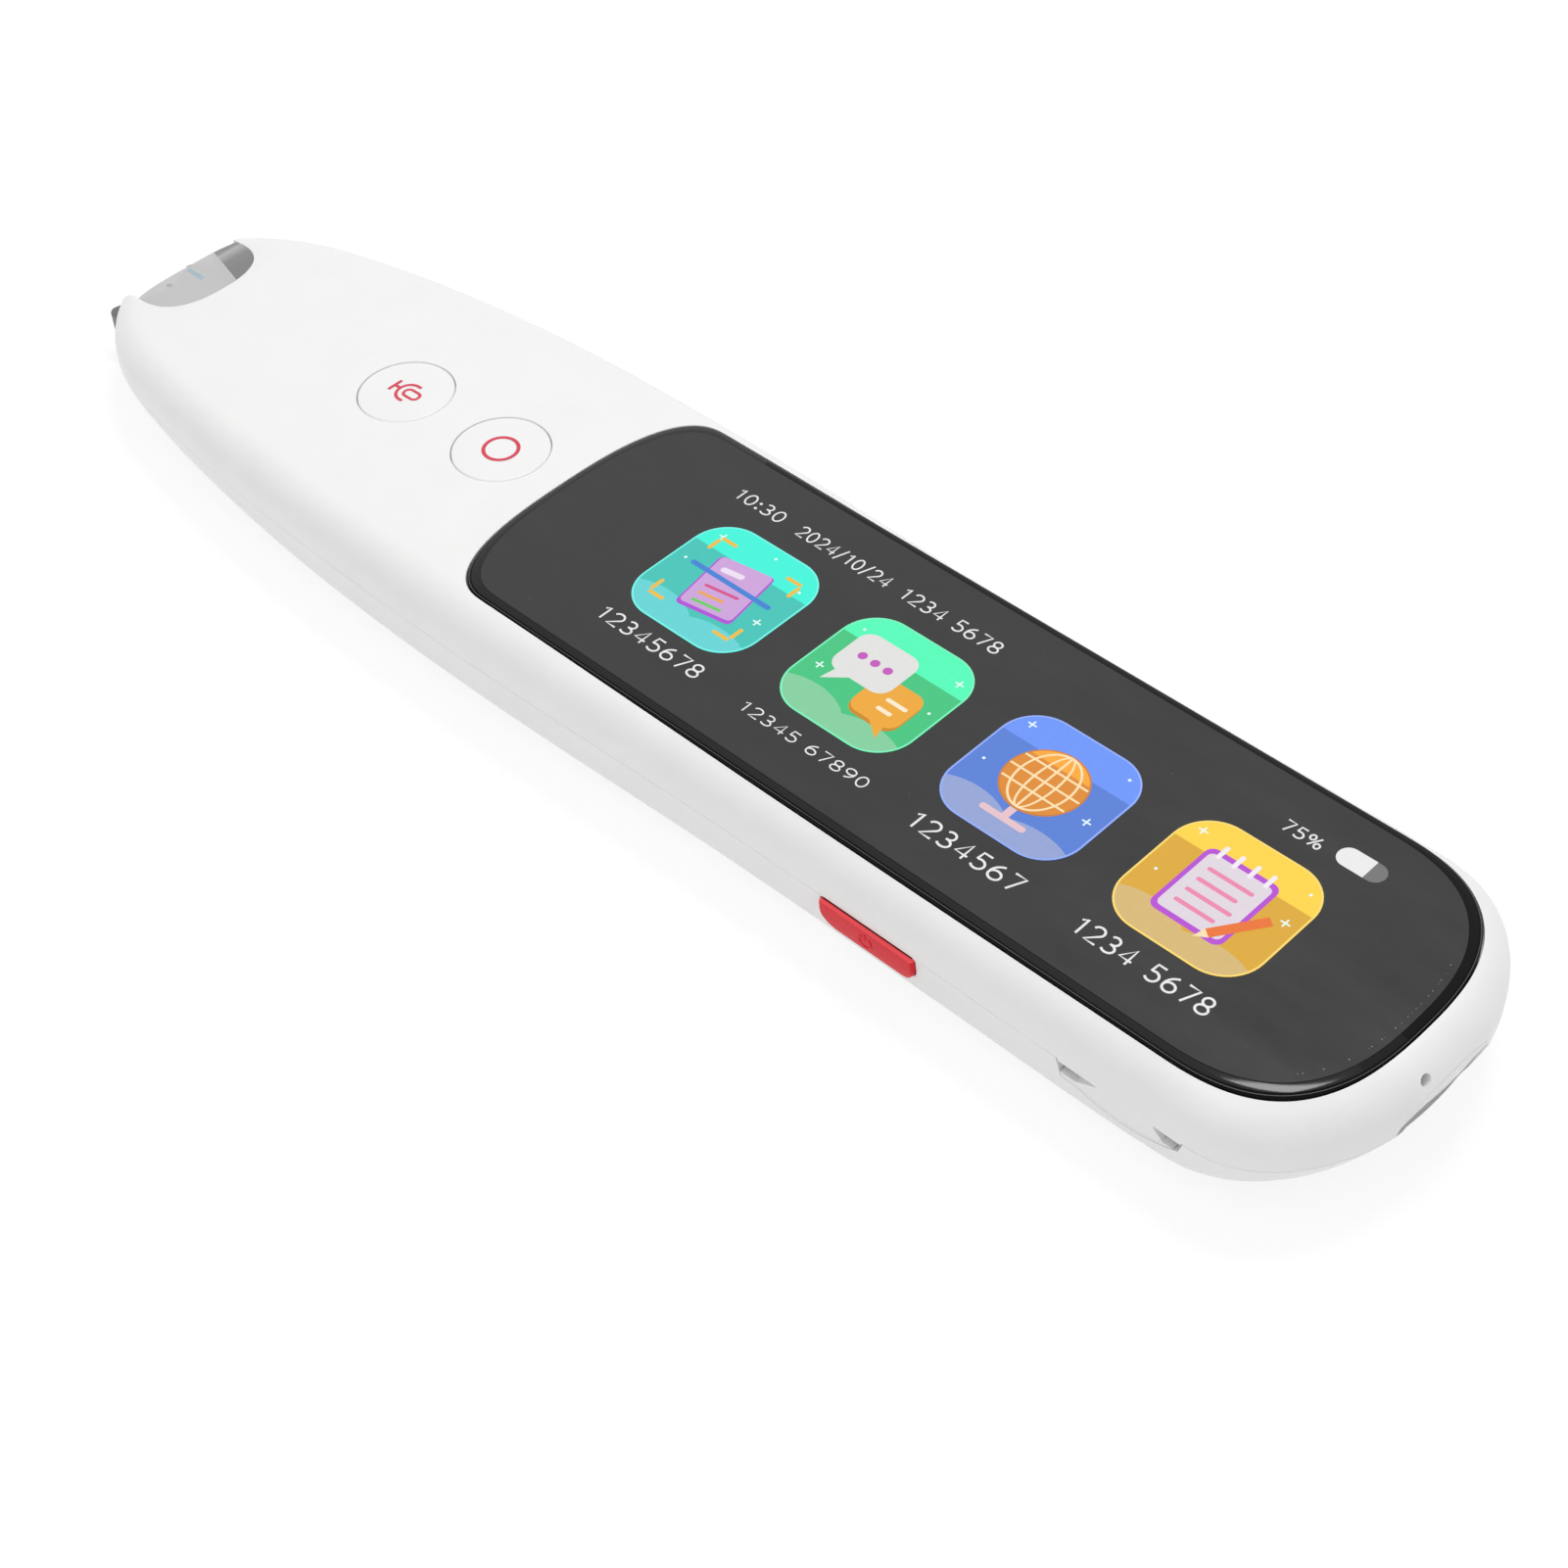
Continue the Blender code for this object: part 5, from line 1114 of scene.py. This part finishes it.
def digits(name, text, x, y, height, width, weight=0.115):
    """Plain digits on the glass from the left end of their line; sizes in millimetres."""
    shapes = [SIGNS[sign] for sign in text]
    stretch = width / (sum(cell for _, cell in shapes) + SIGN_GAP * (len(shapes) - 1))
    art = Picture(name, x, y)
    start = 0.0
    for lines, cell in shapes:
        for line in lines:
            points = [((start + a) * stretch, b * height) for a, b in line]
            left, right = stroke(points, weight * height)
            for i in range(len(points) - 1):
                art.form([left[i], left[i + 1], right[i + 1], right[i]],
                         "screen_white", 236, 236, 236)
        start += cell + SIGN_GAP
    art.finish()


def edge_dots():
    """A fine dotted gleam along the blunt end of the film: a painted highlight, its dots glowing.
    """
    art = Picture("edge_gleam")
    first_x, low_y, high_y, pitch, largest, smallest = 66.2, -9.5, 6.5, 0.24, 0.045, 0.02
    path = [(x / MM, y / MM) for x, y in glass_loop(1.4 * MM)]
    places = [p for p in path if p[0] > first_x and low_y < p[1] < high_y]
    step = 0
    for (ax, ay), (bx, by) in zip(places, places[1:]):
        count = max(int(hypot(bx - ax, by - ay) / pitch), 1)
        for i in range(count):
            t = i / count
            size = largest * max(sin(step * 2.7) + sin(step * 1.3 + 1), 0.0) ** 0.5
            step += 1
            if size > smallest:
                dot = ellipse(ax + (bx - ax) * t, ay + (by - ay) * t, size, size, 6)
                art.form(dot, "gleam", 150, 150, 150)
    art.finish()


def make_screen():
    film = bmesh.new()
    loop = level_ring(glass_loop(FILM_INSET), GLASS_TOP_Z + SHEET_STEP)
    rungs(film, [film.verts.new(point) for point in loop])
    sheet = finish(film, "screen_film", FILM)
    page_icon()
    speech_icon()
    globe_icon()
    note_icon()
    digits("clock_digits", "10:30", -4.1, 8.45, 1.35, 5.4)
    digits("date_digits", "2024/10/24", 3.2, 8.4, 1.35, 10.2)
    digits("count_digits", "1234 5678", 14.8, 8.35, 1.4, 10.5)
    digits("charge_digits", "75%", 53.4, 8.25, 1.2, 3.5, 0.13)
    digits("label_1", "12345678", -2.1, -9.4, 1.55, 11.5)
    digits("label_2", "12345 67890", 14.2, -9.4, 1.15, 13.4)
    digits("label_3", "1234567", 32.3, -9.85, 1.75, 10.8)
    digits("label_4", "1234 5678", 48.3, -9.75, 1.75, 12.4)
    edge_dots()
    pill = Picture("charge_pill", 60.2, 9.25)
    outline = rect(-2.1, -1.0, 2.1, 1.0, 0.98, 12)
    pill.form(outline, "pill_grey", 120, 120, 120)
    pill.up()
    pill.form([(min(px, 0.75), py) for px, py in outline], "screen_white", 236, 236, 236)
    pill.finish()


# Keys

def make_round_key(name):
    x = KEY_X[name]
    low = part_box(name + "_key")[0].z
    flange_top = low + KEY_FLANGE_THICKNESS
    rings = [key_ring(x, KEY_FLANGE_RADIUS, lambda px: low),
             key_ring(x, KEY_FLANGE_RADIUS, lambda px: flange_top),
             key_ring(x, KEY_RADIUS, lambda px: flange_top)]
    for i in range(5):
        angle = pi / 2 * i / 4
        rings.append(key_ring(x, KEY_RADIUS - KEY_EDGE_ROUND * (1 - cos(angle)),
                              lambda px: top_height(px) - KEY_EDGE_ROUND * (1 - sin(angle))))
    key = finish(skin(rings), name + "_key_cap", WHITE, name + "_button")
    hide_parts(name + "_key")


def mark_on_key(name, key, strips, closed):
    """Printed strips on a round key, each between two lines of points in millimetres."""
    made = bmesh.new()
    lift = MARK_LIFT
    for sides in strips:
        rows = []
        for side in sides:
            places = [(KEY_X[key] + a * MM, b * MM) for a, b in side]
            rows.append([made.verts.new((x, y, top_height(x) + lift)) for x, y in places])
        count = len(rows[0])
        for i in range(count if closed else count - 1):
            j = (i + 1) % count
            made.faces.new((rows[0][i], rows[0][j], rows[1][j], rows[1][i]))
        lift += SHEET_STEP / 2
    face_up(made)
    thing = as_piece(made, name, [MARK], key + "_button")
    if closed:
        smooth(thing.data, SMOOTH_ANGLE)


def make_keys():
    make_round_key("voice")
    make_round_key("home")
    ring, hole = (ellipse(0.0, 0.0, radius, radius, 72) for radius in (1.7, 1.36))
    mark_on_key("home_mark", "home", [(ring, hole)], True)
    body = rect(-0.25, -0.62, 1.75, 0.62, 0.6, 10)
    gap = rect(0.03, -0.34, 1.47, 0.34, 0.33, 10)
    mark_on_key("voice_mark_body", "voice", [(body, gap)], True)
    cradle = bow(0.35, 0.0, 1.15, 1.15, 90, 270, 30)
    lines = [[(0.75, 1.15)] + cradle + [(0.75, -1.15)], [(-0.8, 0.0), (-1.5, 0.0)],
             [(-1.5, 0.8), (-1.5, -0.8)]]
    strips = [stroke(points, 0.3) for points in lines]
    mark_on_key("voice_mark_cradle", "voice", strips, False)


def make_power_key():
    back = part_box("power_key")[1].y
    start = back - FLANGE_THICKNESS
    face = -half_width(POWER_X) - POWER_PROUD
    sections = [(0.0, (start + back) / 2)]
    for i in range(7):
        angle = pi / 2 * i / 6
        sections.append((POWER_ROUND * (cos(angle) - 1), face + POWER_ROUND * (1 - sin(angle))))
    sections.append((-POWER_ROUND, face - OVERRUN))
    key = finish(skin([side_ring(power_outline(margin), y) for margin, y in sections]),
                 "power_key_cap", RED, "power_button", sharp=KEY_SMOOTH_ANGLE)
    merge(key, body_skin(-POWER_PROUD), "INTERSECT", sharp=KEY_SMOOTH_ANGLE)
    flange = side_prism(power_outline(FLANGE_START), start, back)
    merge(key, flange, "UNION", sharp=KEY_SMOOTH_ANGLE)
    # Upward faces take the brighter red as a painted highlight, and the flat top side takes the
    # dark red as painted shade in the gap.
    key.data.materials.append(RED_PAINTED_HIGHLIGHT)
    key.data.materials.append(RED_PAINTED_GAP_SHADE)
    for polygon in key.data.polygons:
        if polygon.normal.z > HIGHLIGHT_FACING:
            polygon.material_index = 2 if polygon.normal.z > GAP_SHADE_FACING else 1
    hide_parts("power_key")
    make_power_sign(surface_of(key))


def make_power_sign(surface):
    """The raised sign on the power key: a ring that is open above, and a bar in its gap."""
    made = bmesh.new()
    for points in (bow(0.0, 0.0, 0.62, 0.62, 125, 415, 36), [(0.0, 0.25), (0.0, 0.85)]):
        rows = []
        for side in stroke(points, 0.16):
            row = []
            for a, b in side:
                z = PARTING_HEIGHT - (SIGN_DROP - b) * MM
                hit = surface.ray_cast((POWER_X + a * MM, -BODY_WIDTH, z), (0, 1, 0))[0]
                row.append([made.verts.new(hit + Vector((0, depth, 0)))
                            for depth in (-SIGN_DEPTH, SIGN_DEPTH)])
            rows.append(row)
        last = len(points) - 1
        for i in range(last):
            a, b, c, d = rows[0][i], rows[0][i + 1], rows[1][i + 1], rows[1][i]
            made.faces.new((a[0], b[0], c[0], d[0]))
            made.faces.new((a[0], a[1], b[1], b[0]))
            made.faces.new((d[0], c[0], c[1], d[1]))
        for i in (0, last):
            a, d = rows[0][i], rows[1][i]
            made.faces.new((a[0], d[0], d[1], a[1]))
    symbol = finish(made, "power_symbol", RED, "power_button")


# Tip

def window_block():
    block = finish(body_skin(WINDOW_RECESS), "window_fine", SMOKE, body=None)
    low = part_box("scan_window")[0].z
    merge(block, prism(window_arch(FIT / 4), low, BODY_HEIGHT + OVERRUN), "INTERSECT")
    merge(block, window_front(0.0), "INTERSECT")
    hollow = finish(body_skin(WINDOW_RECESS + WINDOW_THICKNESS), "hollow", SMOKE, body=None)
    merge(hollow, window_front(WINDOW_THICKNESS), "INTERSECT")
    carve(block, form_of(hollow))
    return block


def on_window(surface, points, name, paint_used):
    """A sheet on the window, given by its outline from above in millimetres."""
    made = bmesh.new()
    corners = []
    for x, y in points:
        hit = surface.ray_cast((x * MM, y * MM, 2 * BODY_HEIGHT), (0, 0, -1))[0]
        corners.append(made.verts.new(hit + Vector((0, 0, SHEET_STEP))))
    made.faces.new(corners)
    sheet = finish(made, name, paint_used)


def make_window():
    """The smoke window in two tones, the darker one with a painted highlight, with the aiming line
    and the lamp's dot seen in it.
    """
    (left, left_y), (right, right_y) = WINDOW_SHADE_LINE
    rear, side = right + 4 * MM, 12 * MM
    far = [(left, left_y), (right, right_y), (rear, right_y), (rear, side), (left, side)]
    clear = window_block()
    carve(clear, prism(far, 0.0, 2 * BODY_HEIGHT))
    shaded = window_block()
    shaded.name = "window_shaded"
    merge(shaded, prism(far, 0.0, 2 * BODY_HEIGHT), "INTERSECT")
    shaded.data.materials.clear()
    shaded.data.materials.append(SHADED_SMOKE_AND_HIGHLIGHT)
    for piece in (clear, shaded):
        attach(piece, "housing")
        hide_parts("scan_window")
    surface = surface_of(clear)
    line = [(-68.5, -0.2), (-67.6, -0.27), (-66.8, -0.32), (-66.0, -0.36),
            (-66.0, 0.16), (-66.8, 0.2), (-67.6, 0.24), (-68.5, 0.28)]
    on_window(surface, line, "aim_line_seen", AIM_LINE)
    on_window(surface, ellipse(-67.75, -2.77, 0.3, 0.3, 24), "lamp_dot_seen", SHADED_SMOKE_AND_HIGHLIGHT)


def make_nib():
    """The sliding foot with rounded edges and its two arms."""
    rear = NIB_FRONT_X + NIB_LENGTH
    low = parting_height(TIP_X) - NIB_BELOW_PARTING
    high = low + NIB_HEIGHT
    half = NIB_HALF_WIDTH
    outline = rounded_outline(NIB_FRONT_X, -half, rear, half, NIB_RADII)
    for i in range(1, 24):
        across = 1 - i / 12
        outline.append((NIB_FRONT_X + SCOOP_DEPTH * (1 - across ** 2), across * SCOOP_HALF_WIDTH))
    nib = finish(prism(outline, low, high), "nib_fine", NIB_SMOKE, "nib")
    bevel = nib.modifiers.new("edge", "BEVEL")
    bevel.width = NIB_EDGE
    bevel.segments = 4
    bevel.limit_method = "ANGLE"
    bevel.angle_limit = 1.0
    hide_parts("nib_slider")
    length, width, height = ARM_SIZE
    arm_high = high + ARM_RISE
    for side, y in (("near", -half), ("far", half - width)):
        form = rect(rear - width, y, rear + length, y + width)
        arm = finish(prism(form, arm_high - height, arm_high), "nib_arm_" + side, NIB_SMOKE, "nib")
        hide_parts("nib_slider")


# Studio

def make_camera():
    azimuth, elevation, roll = (radians(angle) for angle in CAMERA_ANGLES)
    data = bpy.data.cameras.new("photo_camera")
    data.lens = CAMERA_LENS
    data.sensor_width = 36
    data.clip_start = 0.001
    camera = add_thing("photo_camera", data)
    camera.matrix_world = Matrix.Translation(Vector(CAMERA_PLACE) * MM)
    for angle, axis in ((azimuth, "Z"), (pi / 2 - elevation, "X"), (roll, "Z")):
        camera.matrix_world @= Matrix.Rotation(angle, 4, axis)
    bpy.context.scene.camera = camera


def add_lamp(name, spot, target, size, power):
    data = bpy.data.lights.new(name, "AREA")
    data.shape = "RECTANGLE"
    data.size, data.size_y = size
    data.energy = power
    lamp = add_thing(name, data)
    lamp.location = spot
    facing = (Vector(spot) - Vector(target)).normalized()
    across = facing.cross(Vector((1, 0, 0))).normalized()
    lamp.rotation_euler = Matrix((across.cross(facing), across, facing)).transposed().to_euler()


def shown_rays(tree):
    """1 for camera, glossy and transmission rays, and 0 for those that light things."""
    path = add_node(tree, "LightPath", {}).outputs
    total = path["Is Camera Ray"]
    for name in ("Is Glossy Ray", "Is Transmission Ray"):
        total = add_node(tree, "Math", {0: total, 1: path[name]}, operation="MAXIMUM").outputs[0]
    return total


def make_studio():
    world = bpy.data.worlds.new("studio")
    bpy.context.scene.world = world
    world.use_nodes = True
    tree = world.node_tree
    fill(tree, tree.nodes["Background"], {
        "Color": (1, 1, 1, 1), "Strength": spread(tree, shown_rays(tree), 0.6, 1.0, 0.0, 1.0)})
    floor_mesh = bpy.data.meshes.new("floor")
    corners = [(x, y, FLOOR_Z) for x, y in rect(-FLOOR_HALF, -FLOOR_HALF, FLOOR_HALF, FLOOR_HALF)]
    floor_mesh.from_pydata(corners, [], [(0, 1, 2, 3)])
    floor = add_thing("floor", floor_mesh)
    pale, tree, shader = new_material("floor_pale")
    fill(tree, shader, {"Base Color": (0.92, 0.92, 0.92, 1), "Roughness": 0.9,
                        "Specular IOR Level": 0.0})
    glow = add_node(tree, "Emission", {"Strength": 1.04})
    share = add_node(tree, "Math", {0: shown_rays(tree), 1: 0.8}, operation="MULTIPLY")
    mix = add_node(tree, "MixShader", {"Fac": share.outputs[0], 1: shader.outputs["BSDF"],
                                       2: glow.outputs["Emission"]})
    fill(tree, tree.nodes["Material Output"], {"Surface": mix.outputs["Shader"]})
    floor_mesh.materials.append(pale)
    add_lamp("top_light", (0.05, -0.3, 0.6), (0, 0, 0), (0.7, 0.5), 0.75)
    add_lamp("small_light", (-0.01, 0.17, 0.58), (0.03, 0, 0), (0.16, 0.12), 1.2)
    bpy.context.scene.view_settings.view_transform = "Standard"


CARRIED = (
    (FOAM, "glass_adhesive battery_pad speaker_mesh"),
    (PANEL, "display_panel"),
    (LENS, "camera_lens"),
    (FOIL, "battery_cell"),
    (BOARD, "main_board usb_board"),
    (GREY, "light_duct tip_plunger voice_plunger home_plunger power_plunger battery_plug"),
    (STEEL, "display_tray shield_can usb_shell microphone"
            " board_screw_1 board_screw_2 board_screw_3 board_screw_4"),
    (BLACK, "scan_lamp aim_lamp camera_body lens_barrel tip_switch voice_switch home_switch"
            " power_switch memory_chip speaker_unit usb_tongue"),
)


def paint_carried():
    for paint_used, names in CARRIED:
        for name in names.split():
            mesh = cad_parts[name].data
            mesh.materials.clear()
            mesh.materials.append(paint_used)


make_camera()
make_studio()
make_upper_housing()
make_lower_housing()
make_cover_glass()
make_screen()
make_keys()
make_power_key()
make_window()
make_nib()
paint_carried()
